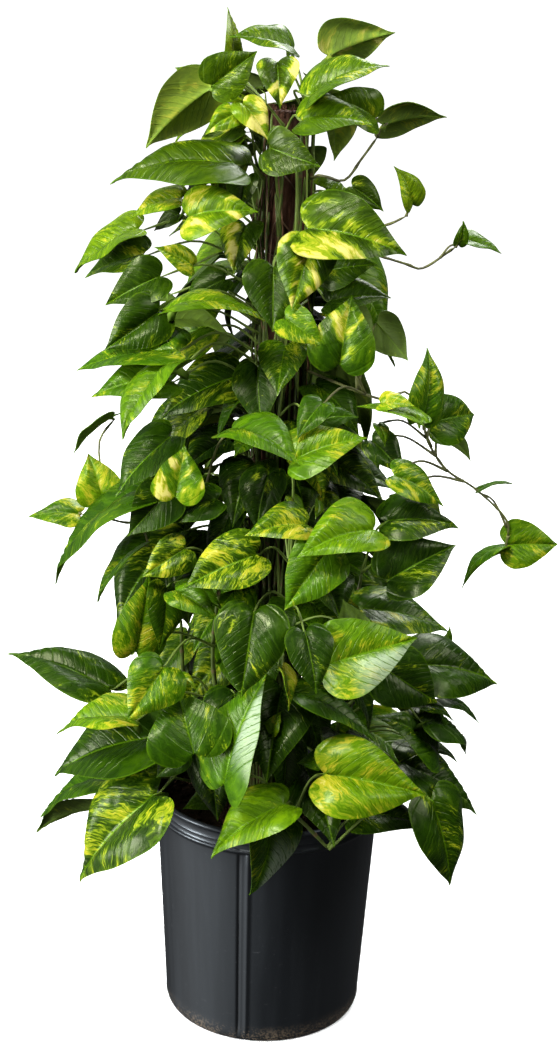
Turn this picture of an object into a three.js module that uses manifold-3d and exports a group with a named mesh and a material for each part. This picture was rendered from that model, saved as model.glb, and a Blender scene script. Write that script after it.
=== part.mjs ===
// A golden pothos trained up a bark-covered pole in a black nursery pot. Millimetres, +Z up,
// origin at the centre of the pot's flat underside. The front of the plant faces -Y.
//
// Each leafy stem is one body: its stem, its leaf stalks and its heart-shaped blades, grown together.
// The blades that face the front were read off the photograph one by one, in centimetres, on the upright
// plane through the pot's axis, as they are seen from the eye point below. The other sides and the inside
// follow a seeded rule.
import * as THREE from "three";
import { mergeVertices } from "three/addons/utils/BufferGeometryUtils.js";
import Module from "manifold-3d";

const wasm = await Module();
wasm.setup();

// Pot: a ten inch grower pot.
const POT_HEIGHT = 265;
const POT_RIM_RADIUS = 128;
const POT_BASE_RADIUS = 110;
const POT_WALL = 2.2;
const POT_FLOOR = 3;
const POT_SIDES = 32;
const RING_Z = 241;
const DRAIN_HOLES = 6;
const DRAIN_RADIUS = 9;
const DRAIN_CIRCLE = 86;

// Soil and pole.
const FIT = 0.3;
const SOIL_TOP = 243;
const SOIL_SIDES = 24;
const POLE_RADIUS = 20;
const POLE_TOP = 1003;
const POLE_FOOT = 60;
const BARK_RELIEF = 1.1;

// Stems, stalks and blades.
const STEM_RADIUS = 3.2;
const SHOOT_RADIUS = 2.8;
const TWIG_RADIUS = 1.7;
const STALK_RADIUS = 1.4;
const BLADE_THICKNESS = 1.2;
const BLADE_WIDTH = 0.74;
const FACET_SPREAD = 1.05;
const STEM_HOLE_DEPTH = 38;
const CLEARANCE = 0.45;

// The point that the front was read from, in centimetres, and its distance from the plane.
const EYE = [0.36, -175.4, 109.9];
const EYE_DISTANCE = 175.4;

// Front leaves: foot x, foot z, foot depth, tip x, tip z, tip depth, seen width, side, colour.
// Depth is how far in front of the plane the point lies. Side 0 shows the upper face turned up,
// 1 the upper face turned down, 2 the underside. Colour is two digits: tone and paleness.
const FRONT = [
  [-6.5, 103.4, 2, -6.2, 110.1, 0, 1.8, 0, 72], [0.0, 106.3, 0, -6.0, 107.3, 2, 2.2, 0, 41],
  [-7.8, 102.3, 4, -14.3, 96.2, 5, 5.8, 2, 85], [-7.9, 102.4, -1, -11.4, 104.2, -4, 3.0, 0, 20],
  [-7.6, 102.6, 6, -3.2, 106.0, 5, 4.5, 0, 20], [-1.2, 105.0, 5, -0.8, 100.5, 7, 3.9, 0, 23],
  [-4.5, 100.9, 8, -1.8, 97.3, 9, 3.0, 0, 68], [-5.0, 100.0, 7, -8.3, 97.7, 8, 2.5, 0, 67],
  [-5.3, 94.9, 6, -17.9, 92.6, 5, 4.2, 0, 32], [-1.7, 96.6, 10, 3.5, 94.9, 12, 4.6, 0, 21],
  [-10.7, 91.3, 5, -15.8, 89.1, 4, 2.2, 0, 55], [-9.8, 89.5, 8, -2.7, 90.2, 10, 5.0, 0, 54],
  [-10.9, 89.7, 2, -13.4, 87.9, 1, 1.6, 0, 10], [-15.1, 88.0, 3, -21.6, 83.4, 2, 2.6, 0, 63],
  [-14.5, 85.5, 2, -20.5, 82.9, 0, 3.0, 0, 33], [-12.7, 83.3, 7, -18.4, 80.1, 8, 4.4, 0, 21],
  [-11.8, 81.6, 1, -16.2, 81.0, -1, 2.2, 2, 40], [-9.4, 84.6, 7, -13.3, 86.3, 8, 2.6, 0, 46],
  [-6.0, 83.2, 6, -10.4, 80.3, 6, 3.0, 0, 20], [-11.3, 79.9, 9, -1.1, 78.7, 11, 1.8, 0, 63],
  [-12.0, 79.0, 8, -5.3, 77.3, 9, 2.4, 2, 73], [-12.8, 79.6, 8, -18.5, 75.3, 9, 5.2, 0, 21],
  [-11.0, 75.6, 10, -21.4, 73.2, 8, 3.5, 0, 44], [-11.5, 72.3, 11, -19.9, 70.3, 12, 4.2, 0, 51],
  [-11.0, 73.6, 13, -16.6, 65.8, 15, 3.0, 0, 62], [3.8, 105.8, 3, 10.4, 108.2, 1, 4.8, 2, 46],
  [2.3, 102.0, 5, 10.0, 105.0, 5, 3.0, 0, 45], [8.8, 99.9, 7, 3.3, 101.7, 8, 3.8, 0, 20],
  [9.6, 99.3, 2, 16.0, 100.2, 1, 3.2, 2, 30], [1.5, 99.5, 9, 8.6, 99.2, 10, 3.8, 0, 31],
  [6.8, 93.0, 7, 10.1, 90.6, 7, 2.6, 0, 20], [2.4, 88.7, 12, 12.7, 86.2, 13, 6.8, 0, 47],
  [13.0, 91.4, 5, 10.9, 95.2, 5, 2.4, 0, 65], [17.9, 87.5, 3, 18.3, 89.9, 3, 1.4, 0, 54],
  [18.5, 88.0, 3, 22.4, 86.7, 3, 1.3, 0, 43], [2.7, 87.2, 13, 1.0, 80.1, 15, 6.0, 0, 35],
  [0.4, 79.3, 13, 4.5, 76.5, 14, 3.6, 0, 55], [-1.0, 84.6, 10, -0.9, 77.8, 12, 6.2, 0, 20],
  [4.3, 84.3, 9, 9.7, 85.2, 10, 4.0, 0, 31], [4.9, 81.2, 10, 11.3, 81.8, 11, 3.4, 0, 20],
  [7.2, 80.3, 9, 9.5, 77.2, 10, 2.6, 2, 30], [9.9, 79.1, 7, 13.4, 75.2, 8, 4.0, 2, 31],
  [6.2, 74.6, 14, 7.2, 82.0, 12, 6.6, 0, 46], [15.2, 69.2, 9, 15.3, 76.7, 8, 3.7, 0, 44],
  [16.4, 68.8, 8, 20.7, 69.7, 3, 5.2, 0, 33], [10.8, 70.6, 14, 14.3, 70.4, 15, 2.0, 0, 78],
  [15.0, 68.6, 12, 8.2, 70.2, 13, 1.4, 0, 73], [-17.6, 68.3, 5, -21.8, 64.1, 5, 1.0, 2, 20],
  [-18.6, 59.2, 6, -20.2, 64.2, 5, 4.9, 0, 88], [-11.5, 66.2, 11, -17.3, 59.4, 12, 4.6, 0, 21],
  [-10.8, 59.6, 15, -9.9, 65.4, 13, 5.4, 0, 58], [-21.3, 57.4, 4, -26.7, 56.9, 4, 2.8, 0, 45],
  [-14.0, 60.4, 10, -23.9, 49.3, 8, 2.4, 0, 32], [-14.0, 54.3, 9, -19.3, 47.4, 9, 1.7, 0, 43],
  [-11.5, 60.3, 9, -16.0, 55.0, 10, 5.0, 0, 10], [-6.5, 59.5, 13, -12.5, 56.5, 13, 3.8, 0, 11],
  [-9.8, 53.8, 14, -14.4, 50.4, 15, 4.4, 0, 46], [-2.0, 53.4, 17, -9.9, 49.3, 18, 6.0, 0, 45],
  [-4.8, 67.2, 14, 2.4, 63.6, 17, 4.4, 0, 52], [1.7, 64.2, 17, 9.5, 66.8, 16, 5.0, 0, 57],
  [4.5, 70.4, 14, 2.0, 66.4, 16, 3.2, 0, 31], [3.5, 68.3, 12, 8.5, 69.0, 12, 3.0, 0, 31],
  [10.5, 56.6, 18, 2.4, 53.2, 21, 5.8, 0, 72], [5.6, 54.0, 18, 1.2, 47.1, 20, 6.2, 0, 43],
  [3.2, 57.0, 16, -3.3, 55.5, 18, 4.0, 0, 37], [12.6, 62.8, 13, 18.0, 59.5, 12, 3.4, 0, 44],
  [13.5, 61.0, 9, 18.0, 58.0, 8, 3.6, 2, 35], [12.0, 57.6, 12, 19.8, 57.1, 11, 4.4, 0, 11],
  [12.5, 51.0, 14, 19.6, 55.2, 11, 6.2, 0, 12], [25.0, 55.4, 6, 30.6, 55.6, 5, 5.0, 0, 65],
  [24.7, 54.8, 6, 20.4, 50.2, 7, 0.9, 0, 42], [21.6, 61.5, 7, 25.2, 62.3, 7, 0.6, 0, 31],
  [16.8, 68.0, 8, 20.6, 64.6, 7, 1.8, 2, 31], [10.6, 68.3, 12, 11.4, 65.9, 13, 1.4, 0, 55],
  [10.0, 66.5, 10, 13.5, 62.8, 11, 3.4, 0, 10], [1.6, 60.0, 14, 2.7, 57.3, 15, 1.3, 0, 64],
  [4.6, 59.6, 12, 4.3, 57.6, 13, 0.9, 0, 63], [-15.0, 41.8, 15, -13.6, 50.9, 12, 5.6, 0, 55],
  [-18.0, 37.2, 9, -29.2, 41.1, 6, 4.9, 0, 21], [-11.9, 39.9, 19, -15.9, 33.5, 21, 6.4, 0, 35],
  [-15.3, 33.6, 17, -23.9, 31.6, 15, 3.0, 0, 65], [-11.6, 49.3, 13, -12.4, 42.0, 15, 4.2, 0, 33],
  [-10.6, 49.0, 15, -5.9, 45.6, 17, 3.4, 0, 53], [-10.6, 38.7, 17, -8.2, 37.6, 18, 1.2, 0, 65],
  [-8.4, 29.7, 21, -10.4, 37.4, 17, 9.2, 0, 32], [-13.0, 31.6, 15, -24.2, 26.4, 12, 7.0, 0, 20],
  [-15.0, 27.0, 12, -26.1, 21.0, 10, 3.4, 0, 31], [-18.5, 22.6, 9, -26.3, 19.4, 7, 1.6, 2, 30],
  [-2.1, 46.7, 19, -3.3, 36.5, 21, 7.8, 0, 31], [-4.9, 26.1, 21, -0.5, 39.6, 19, 6.6, 0, 49],
  [0.2, 32.5, 18, 1.3, 35.2, 17, 1.6, 0, 74], [1.2, 40.2, 18, 2.1, 35.2, 19, 1.2, 0, 48],
  [3.6, 44.6, 16, 5.1, 37.3, 18, 5.0, 0, 10], [6.4, 41.0, 20, 16.0, 44.4, 19, 8.4, 0, 59],
  [9.4, 44.3, 16, 7.6, 48.6, 14, 3.8, 2, 61], [-9.2, 49.0, 13, -5.6, 47.0, 16, 2.4, 0, 30],
  [2.8, 37.4, 17, 11.9, 31.9, 18, 2.8, 0, 31], [9.8, 47.6, 13, 19.4, 45.2, 12, 4.8, 0, 34],
  [18.7, 42.6, 7, 19.5, 46.0, 6, 1.2, 0, 53], [16.2, 41.2, 10, 25.2, 39.2, 6, 6.2, 0, 20],
  [18.8, 37.3, 9, 23.4, 34.5, 8, 0.9, 0, 20], [17.2, 36.3, 12, 20.6, 34.6, 12, 1.0, 0, 20],
  [17.4, 34.4, 10, 22.2, 30.7, 9, 1.4, 0, 10], [18.3, 31.2, 10, 21.3, 29.6, 10, 0.8, 0, 20],
  [12.6, 40.6, 16, 18.6, 36.7, 15, 6.8, 0, 11], [18.6, 31.0, 12, 11.8, 35.0, 14, 4.4, 0, 31],
  [-0.5, 47.6, 15, 2.4, 43.0, 17, 3.4, 0, 20], [-12.8, 24.4, 18, -21.4, 13.2, 17, 8.0, 0, 66],
  [-9.8, 29.8, 18, -12.6, 26.6, 18, 3.4, 0, 10], [-5.8, 24.6, 12, -9.6, 22.8, 13, 2.6, 0, 50],
  [2.0, 23.8, 16, -6.3, 16.7, 18, 5.6, 0, 73], [0.6, 22.4, 14, -1.7, 12.1, 16, 5.2, 0, 26],
  [1.6, 31.5, 15, 1.4, 24.5, 16, 3.8, 0, 20], [6.4, 27.7, 20, 17.9, 25.5, 19, 8.6, 0, 58],
  [5.9, 29.4, 16, 3.2, 28.9, 17, 2.2, 0, 40], [15.0, 29.2, 13, 23.9, 23.2, 10, 4.8, 0, 11],
  [10.2, 22.8, 15, 18.6, 21.4, 15, 4.4, 0, 20], [18.6, 24.8, 16, 21.3, 14.1, 16, 6.0, 0, 22],
];

// Rule for the leaves at the sides, at the back and inside: how many, and how far the foliage reaches from
// the pole, in centimetres: height, reach to the back and front, reach to the left, reach to the right.
const SIDE_LEAVES = 42;
const REACH = [[20, 15, 17, 17], [27, 22, 19, 18], [36, 25, 17, 18], [46, 24, 15, 13], [56, 23, 16, 14],
  [65, 21, 17, 14], [75, 19, 15, 10], [81, 18, 15, 6], [90, 16, 12, 7], [100, 13, 11, 6], [108, 9, 8, 5]];
const SEED = 20259;

// Climbing stems: bearing round the pole in degrees (270 is the front) and top height.
const CLIMBERS = [
  ["leafy_vine_front", 262, 990], ["leafy_vine_front_left", 214, 1010], ["leafy_vine_left", 172, 960],
  ["leafy_vine_back_left", 128, 985], ["leafy_vine_back", 84, 940], ["leafy_vine_back_right", 40, 995],
  ["leafy_vine_right", 352, 1000], ["leafy_vine_front_right", 308, 1015],
];
const CLIMBER_RADIUS = 25.8;
const CLIMBER_ROOT = 31;

// Shoots that stand free in the soil: bearing, foot radius, lean outwards and top height.
const SHOOTS = [
  ["leafy_shoot_front", 280, 66, 46, 560], ["leafy_shoot_front_left", 238, 68, 44, 540],
  ["leafy_shoot_left", 194, 64, 40, 470], ["leafy_shoot_back_left", 146, 64, 42, 480],
  ["leafy_shoot_back", 100, 66, 44, 500], ["leafy_shoot_back_right", 56, 64, 42, 480],
  ["leafy_shoot_right", 12, 66, 42, 470], ["leafy_shoot_front_right", 322, 68, 46, 540],
];

// The stem that hangs over the rim, and the side twigs, as points read like the leaves: x, z, depth.
const TRAILER = [[2.3, 24.6, 13.2], [2.4, 23.4, 15.4], [4.8, 20.9, 15.9], [7.2, 18.3, 15.9]];
const TRAILER_FOOT = [30, -92];
const TWIGS = [
  ["leafy_vine_right", 740, [[9.0, 71.5, 9], [14.6, 69.6, 9.6], [16.0, 66.4, 9], [18.0, 63.6, 8.5],
    [21.3, 61.5, 7.5], [24.9, 58.0, 6.5], [25.1, 56.4, 6.2]]],
  ["leafy_vine_right", 900, [[6.6, 88.6, 6], [10.6, 89.3, 6], [12.4, 90.2, 5.6]]],
  ["leafy_vine_right", 935, [[3.7, 94.0, 4.4], [5.9, 93.6, 3.8], [7.6, 95.8, 3], [9.1, 98.0, 2.4]]],
  ["leafy_vine_front_right", 880, [[8.4, 86.4, 8], [12.7, 85.3, 6.5], [14.2, 84.9, 5.4], [17.6, 87.2, 3.4]]],
  ["leafy_vine_front_left", 620, [[-10.0, 58.6, 8], [-15.5, 56.6, 6.5], [-18.3, 57.0, 5], [-21.0, 57.4, 4.2]]],
];

// Outline of half a blade as shares of its length and half width, from the notch round to the tip.
const OUTLINE = [[0, 0], [-0.09, 0.22], [-0.125, 0.5], [-0.05, 0.82], [0.12, 1], [0.34, 0.93],
  [0.55, 0.7], [0.74, 0.4], [0.88, 0.15], [0.96, 0.045], [1, 0]];
const BLADE_ROWS = [0, 0.2, 0.42, 0.7, 1];
const SMALL_BLADE_ROWS = [0, 0.26, 0.6, 1];
const SMALL_BLADE = 66;
const LEAST_BLADE = 38;

const V = (x, y, z) => new THREE.Vector3(x, y, z);
const RAD = Math.PI / 180;

// A repeatable number from 0 to 1 for item i and use k.
function draw(i, k) {
  let s = (Math.imul(i + 1, 2654435761) ^ Math.imul(k + 7, 40503 * SEED)) >>> 0;
  for (let n = 0; n < 3; n++) s = (Math.imul(s, 1664525) + 1013904223) >>> 0;
  return s / 4294967296;
}

// A point seen at x, z on the plane, moved forward by a depth along the line of sight.
function seen(x, z, depth) {
  const t = (EYE_DISTANCE - depth) / EYE_DISTANCE;
  return V(EYE[0] + (x - EYE[0]) * t, EYE[1] * (1 - t), EYE[2] + (z - EYE[2]) * t).multiplyScalar(10);
}

function lookUp(table, t) {
  const last = table.length - 1;
  const f = Math.min(Math.max(t, 0), 1) * last;
  const i = Math.min(Math.floor(f), last - 1);
  return [0, 1].map((c) => table[i][c] + (table[i + 1][c] - table[i][c]) * (f - i));
}

// How far the foliage reaches at a height and a bearing: an oval of the table's reaches.
function reachAt(z, bearing) {
  let i = 0;
  while (i < REACH.length - 2 && z > REACH[i + 1][0]) i++;
  const [low, high] = [REACH[i], REACH[i + 1]];
  const [back, left, right] = [1, 2, 3].map((k) =>
    Math.max(low[k] + ((high[k] - low[k]) * (z - low[0])) / (high[0] - low[0]), 4));
  const [c, s] = [Math.cos(bearing * RAD), Math.sin(bearing * RAD)];
  return 1 / Math.hypot(c / (c < 0 ? left : right), s / back);
}

// Closed solid from a closed geometry, with its shared points merged and its faces turned out.
function solid(geometry) {
  const g = geometry.clone();
  g.deleteAttribute("normal");
  g.deleteAttribute("uv");
  const m = mergeVertices(g, 1e-4);
  const p = m.attributes.position.array;
  const faces = [];
  let volume = 0;
  for (let i = 0; i < m.index.count; i += 3) {
    const [a, b, c] = [0, 1, 2].map((k) => m.index.getX(i + k));
    if (a === b || b === c || a === c) continue;
    faces.push([a, b, c]);
    const [A, B, C] = [a, b, c].map((k) => V(p[3 * k], p[3 * k + 1], p[3 * k + 2]));
    volume += A.dot(B.cross(C));
  }
  if (volume < 0) faces.forEach((f) => f.reverse());
  return new wasm.Manifold(new wasm.Mesh({
    numProp: 3, vertProperties: Float32Array.from(p), triVerts: Uint32Array.from(faces.flat()),
  }));
}

// A round rod of few sides along a curve through points.
function rod(points, radius, sides, steps, pointed = false) {
  const ring = new THREE.Shape(Array.from({ length: sides }, (_, i) =>
    new THREE.Vector2(Math.cos((i / sides) * 2 * Math.PI), Math.sin((i / sides) * 2 * Math.PI))
      .multiplyScalar(radius)));
  const path = points.length === 2 ? new THREE.LineCurve3(...points)
    : new THREE.CatmullRomCurve3(points, false, "centripetal");
  const geometry = new THREE.ExtrudeGeometry(ring, { steps, bevelEnabled: false, extrudePath: path, curveSegments: 1 });
  if (pointed) {
    const end = points[points.length - 1];
    const p = geometry.attributes.position;
    for (let i = 0; i < p.count; i++) {
      const at = V(p.getX(i), p.getY(i), p.getZ(i));
      if (at.distanceTo(end) < radius * 1.02) p.setXYZ(i, end.x, end.y, end.z);
    }
  }
  return geometry;
}

// Point of a blade: a runs from the notch (0) to the tip (1), b from one margin (-1) to the other (1).
function bladePoint(leaf, a, b) {
  const [cu, cv] = lookUp(OUTLINE, a);
  const k = Math.abs(b);
  const u = a + k * (cu - a);
  const v = (Math.sign(b) * k * cv * leaf.width) / 2;
  const edge = Math.sin(Math.PI * Math.min(a * 1.1, 1));
  const w = leaf.length * (leaf.arch * 4 * u * (1 - u)
    + leaf.wave * k * k * edge * Math.sin(2 * Math.PI * (leaf.waves * a + leaf.phase + (b < 0 ? 0.31 : 0))))
    + leaf.fold * Math.abs(v);
  return leaf.foot.clone().addScaledVector(leaf.axis, u * leaf.length)
    .addScaledVector(leaf.side, v).addScaledVector(leaf.normal, w);
}

const levelsOf = (leaf) => (leaf.length < SMALL_BLADE ? SMALL_BLADE_ROWS : BLADE_ROWS);

// A blade as a thin closed solid: a flat grid bent to the leaf's form and given its thickness.
function blade(leaf, grow = 0) {
  const levels = levelsOf(leaf);
  const rows = levels.length - 1;
  const sheet = new THREE.PlaneGeometry(1, 1, 2, rows);
  const count = sheet.attributes.position.count;
  const big = { ...leaf, length: leaf.length + 2 * grow, width: leaf.width * FACET_SPREAD + 2 * grow,
    foot: leaf.foot.clone().addScaledVector(leaf.axis, -grow) };
  const half = leaf.normal.clone().multiplyScalar(BLADE_THICKNESS / 2 + grow);
  const xyz = [];
  for (const face of [1, -1]) {
    for (let i = 0; i < count; i++) {
      const p = bladePoint(big, levels[Math.floor(i / 3)], (i % 3) - 1);
      xyz.push(...p.addScaledVector(half, face).toArray());
    }
  }
  const index = [];
  const flat = sheet.index.array;
  for (let i = 0; i < flat.length; i += 3) {
    const [a, b, c] = [flat[i], flat[i + 1], flat[i + 2]];
    index.push(a, b, c, count + a, count + c, count + b);
  }
  for (let r = 0; r < rows; r++) {
    for (const [p, q] of [[3 * r, 3 * r + 3], [3 * r + 5, 3 * r + 2]]) {
      index.push(p, count + p, count + q, p, count + q, q);
    }
  }
  const g = new THREE.BufferGeometry();
  g.setAttribute("position", new THREE.Float32BufferAttribute(xyz, 3));
  g.setIndex(index);
  return solid(g);
}

// Direction, length and the small habits of a leaf between its foot and its tip.
function shape(foot, tip, normal, width, id, colour) {
  const axis = tip.clone().sub(foot);
  const length = axis.length();
  axis.normalize();
  const n = normal.clone().addScaledVector(axis, -normal.dot(axis)).normalize();
  const fold = 0.06 + 0.3 * draw(id, 2);
  return { id, colour, foot, tip, axis, length, width: Math.max(width, 6) * Math.hypot(1, fold), normal: n,
    side: new THREE.Vector3().crossVectors(n, axis), fold, arch: 0.05 + 0.07 * draw(id, 1),
    wave: 0.012 + 0.022 * draw(id, 3), waves: 1.6 + 1.2 * draw(id, 4), phase: draw(id, 5) };
}

// A front leaf, with its foot and tip moved forward by so many centimetres.
function frontLeaf(row, id, forward) {
  const [fx, fz, fd, tx, tz, td, seenWidth, side, colour] = row;
  const depths = [fd + forward[0], td + forward[1]];
  const foot = seen(fx, fz, depths[0]);
  const tip = seen(tx, tz, depths[1]);
  const axis = tip.clone().sub(foot);
  const length = axis.length();
  axis.normalize();
  const middle = foot.clone().add(tip).multiplyScalar(0.5);
  const view = V(...EYE).multiplyScalar(10).sub(middle).normalize();
  const facing = view.addScaledVector(axis, -view.dot(axis)).normalize();
  const turn = new THREE.Vector3().crossVectors(axis, facing);
  if (Math.abs(turn.z) > 0.25 ? turn.z < 0 : turn.x < 0) turn.negate();
  const near = seenWidth * 10 * (1 - (depths[0] + depths[1]) / 2 / EYE_DISTANCE);
  const width = Math.max(BLADE_WIDTH * length, near);
  let angle = Math.acos(Math.min(near / width, 1));
  if (side === 1) angle = -angle;
  if (side === 2) angle = Math.PI - angle;
  const normal = facing.multiplyScalar(Math.cos(angle)).addScaledVector(turn, Math.sin(angle));
  return { ...shape(foot, tip, normal, width, id, colour), seen: near };
}

// A leaf of the sides, the back or the inside, turned round the pole and lifted by small steps.
function sideLeaf(n, id, turnBy, lift) {
  const level = (n + 0.5) / SIDE_LEAVES;
  const z = 24 + 80 * level + 5 * (draw(id, 11) - 0.5) + lift;
  const inner = n % 4 === 3;
  const bearing = (inner ? -20 + 220 * draw(id, 12) : -28 + 236 * ((n * 0.618034) % 1)
    + 14 * (draw(id, 12) - 0.5)) + turnBy;
  const reach = reachAt(z, bearing) * (inner ? 0.6 : 0.88 + 0.14 * draw(id, 13));
  const size = (9.6 + 4.2 * draw(id, 14)) * (z > 88 ? 0.78 : 1) * (inner ? 0.85 : 1);
  const droop = (10 + 62 * draw(id, 15)) * RAD;
  const yaw = (bearing + 70 * (draw(id, 16) - 0.5)) * RAD;
  const out = V(Math.cos(bearing * RAD), Math.sin(bearing * RAD), 0);
  const along = V(Math.cos(yaw) * Math.cos(droop), Math.sin(yaw) * Math.cos(droop), -Math.sin(droop));
  const foot = out.clone().multiplyScalar(Math.max(reach - size * Math.cos(droop) * 0.8, 5)).setZ(z);
  const tip = foot.clone().addScaledVector(along, size);
  const toFront = Math.abs(out.x) * (draw(id, 22) < 0.7 ? -0.7 : 0.4);
  const normal = out.clone().multiplyScalar(0.55)
    .add(V(0.3 * (draw(id, 17) - 0.5), toFront + 0.2 * (draw(id, 18) - 0.5), 1));
  const tone = 1 + Math.floor(6 * draw(id, 19));
  const pale = Math.floor(8 * draw(id, 20) * draw(id, 21));
  return shape(foot.multiplyScalar(10), tip.multiplyScalar(10), normal, BLADE_WIDTH * size * 10, id, 10 * tone + pale);
}

// A leaf stalk from a stem to a blade: it rises, arches over and runs to a point inside the midrib.
const BENDS = [[0, 0.18], [0, 0.34], [0.22, 0.18], [-0.22, 0.18], [0, 0.02], [0.4, 0.1], [-0.4, 0.1]];
function stalk(leaf, start, bend, grow = 0) {
  const end = bladePoint(leaf, 0, 0).lerp(bladePoint(leaf, levelsOf(leaf)[1], 0), 0.4);
  const foot = bladePoint(leaf, 0, 0).addScaledVector(leaf.normal, -STALK_RADIUS - 1.2);
  const span = foot.clone().sub(start);
  const reach = span.length();
  const across = V(-span.y, span.x, 0).normalize();
  const middle = start.clone().addScaledVector(span, 0.55).addScaledVector(across, bend[0] * reach)
    .add(V(0, 0, bend[1] * reach));
  const points = [start, middle, foot, end];
  return { points, body: solid(rod(points, STALK_RADIUS + grow, 3, 4, grow === 0)) };
}

const bearingPoint = (degrees, radius, z) => V(Math.cos(degrees * RAD) * radius, Math.sin(degrees * RAD) * radius, z);

// Stem paths. Each starts upright in its hole in the soil.
const stems = [];
const foot0 = SOIL_TOP - STEM_HOLE_DEPTH;
CLIMBERS.forEach(([name, bearing, top], i) => {
  const points = [bearingPoint(bearing, CLIMBER_ROOT, foot0 + FIT), bearingPoint(bearing, CLIMBER_ROOT, SOIL_TOP + 8)];
  for (let z = 300; z < top; z += 100) {
    points.push(bearingPoint(bearing + 5 * Math.sin(z / 90 + i), CLIMBER_RADIUS + 0.7 * Math.sin(z / 40 + 2 * i), z));
  }
  points.push(bearingPoint(bearing, CLIMBER_RADIUS + 1, top));
  stems.push({ name, points, radius: STEM_RADIUS, steps: 9, hole: points[0] });
});
SHOOTS.forEach(([name, bearing, root, lean, top], i) => {
  const points = [bearingPoint(bearing, root, foot0 + FIT), bearingPoint(bearing, root, SOIL_TOP + 8)];
  for (let k = 1; k <= 3; k++) {
    points.push(bearingPoint(bearing + 4 * Math.sin(2 * k + i), root + lean * Math.sin((k / 3) * 1.5),
      SOIL_TOP + 8 + ((top - SOIL_TOP - 8) * k) / 3));
  }
  stems.push({ name, points, radius: SHOOT_RADIUS, steps: 5, hole: points[0] });
});
{
  const [x, y] = TRAILER_FOOT;
  stems.push({ name: "trailing_stem", radius: SHOOT_RADIUS, steps: 9, hole: V(x, y, foot0 + FIT),
    points: [V(x, y, foot0 + FIT), V(x, y, SOIL_TOP + 8), V(x, y - 14, SOIL_TOP + 42),
      ...TRAILER.map((p) => seen(...p))] });
}
// Points along the straight lengths that a rod is made of, so that what grows there is rooted in it.
function along(points, steps, parts) {
  const rings = new THREE.CatmullRomCurve3(points, false, "centripetal").getSpacedPoints(steps);
  return rings.slice(1).flatMap((end, i) =>
    Array.from({ length: parts }, (_, k) => rings[i].clone().lerp(end, (k + 1) / parts)));
}
for (const stem of stems) {
  const [foot, ...path] = stem.points;
  stem.line = along(path, stem.steps, 8);
  stem.body = solid(rod(path, stem.radius, 4, stem.steps))
    .add(solid(rod([foot, foot.clone().setZ(SOIL_TOP + 13)], stem.radius, 4, 1)));
  stem.places = stem.line.filter((p) => p.z > SOIL_TOP + 20);
  stem.parts = [stem.body];
}
for (const [name, z, points] of TWIGS) {
  const stem = stems.find((s) => s.name === name);
  const start = stem.line.reduce((a, b) => (Math.abs(a.z - z) < Math.abs(b.z - z) ? a : b));
  const path = [start, ...points.map((p) => seen(...p))];
  const steps = 2 * path.length;
  stem.parts.push(solid(rod(path, TWIG_RADIUS, 4, steps)));
  stem.places.push(...along(path, steps, 2).slice(5));
}

// Pot: a turned shell with a rounded foot, a raised ring and a rolled rim.
function lathe(profile, sides) {
  return new THREE.LatheGeometry(profile.map(([r, z]) => new THREE.Vector2(r, z)), sides).rotateX(Math.PI / 2);
}
function wallRadius(z) {
  return POT_BASE_RADIUS + 1 + ((124.6 - POT_BASE_RADIUS - 1) * z) / RING_Z;
}
const outer = [[0, 0], [POT_BASE_RADIUS - 6, 0], [POT_BASE_RADIUS - 1.5, 1.6], [wallRadius(0) + 0.4, 8],
  [wallRadius(RING_Z - 4), RING_Z - 4], [126.4, RING_Z - 2], [126.6, RING_Z + 2], [124.9, RING_Z + 4.5],
  [125, POT_HEIGHT - 8], [127.2, POT_HEIGHT - 6.5], [POT_RIM_RADIUS, POT_HEIGHT - 3], [127, POT_HEIGHT],
  [124.6, POT_HEIGHT - 0.4]];
const innerWall = [[122.9, POT_HEIGHT - 6], [wallRadius(RING_Z) - POT_WALL, RING_Z],
  [wallRadius(8) - POT_WALL - 0.3, 8], [wallRadius(3) - POT_WALL - 4, POT_FLOOR]];
let pot = solid(lathe([...outer, ...innerWall, [0, POT_FLOOR]], POT_SIDES));
for (let i = 0; i < DRAIN_HOLES; i++) {
  const hole = new THREE.CylinderGeometry(DRAIN_RADIUS, DRAIN_RADIUS, 20, 12).rotateX(Math.PI / 2);
  const at = bearingPoint((i + 0.5) * (360 / DRAIN_HOLES), DRAIN_CIRCLE, 0);
  pot = pot.subtract(solid(hole.translate(at.x, at.y, 0)));
}

// Soil: fills the pot to just below the ring, slightly mounded, with plain holes for the pole and stems.
const soilProfile = [[0, POT_FLOOR + FIT], [wallRadius(3) - POT_WALL - 5.2, POT_FLOOR + FIT],
  [wallRadius(8) - POT_WALL - 1.2, 8.6], [wallRadius(SOIL_TOP - 8) - POT_WALL - 1.1, SOIL_TOP - 8],
  [104, SOIL_TOP - 4], [78, SOIL_TOP - 1], [50, SOIL_TOP], [0, SOIL_TOP]];
const soilGeometry = lathe(soilProfile, SOIL_SIDES);
{
  const p = soilGeometry.attributes.position;
  for (let i = 0; i < p.count; i++) {
    const [x, y, z] = [p.getX(i), p.getY(i), p.getZ(i)];
    const r = Math.hypot(x, y);
    if (z > SOIL_TOP - 6 && r > 40) p.setZ(i, z + 1.6 * Math.sin(x / 13) * Math.cos(y / 11));
  }
}
let soil = solid(soilGeometry);
const plug = (x, y, radius, bottom, sides) => solid(
  new THREE.CylinderGeometry(radius, radius, 400 - bottom, sides).rotateX(Math.PI / 2)
    .translate(x, y, (400 + bottom) / 2));
const POLE_HOLE = POLE_RADIUS + BARK_RELIEF + 0.4;
soil = soil.subtract(plug(0, 0, POLE_HOLE, POLE_FOOT, 16));
for (const stem of stems) {
  soil = soil.subtract(plug(stem.hole.x, stem.hole.y, (stem.radius + 0.5) / Math.cos(Math.PI / 6), foot0, 6));
}

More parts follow.
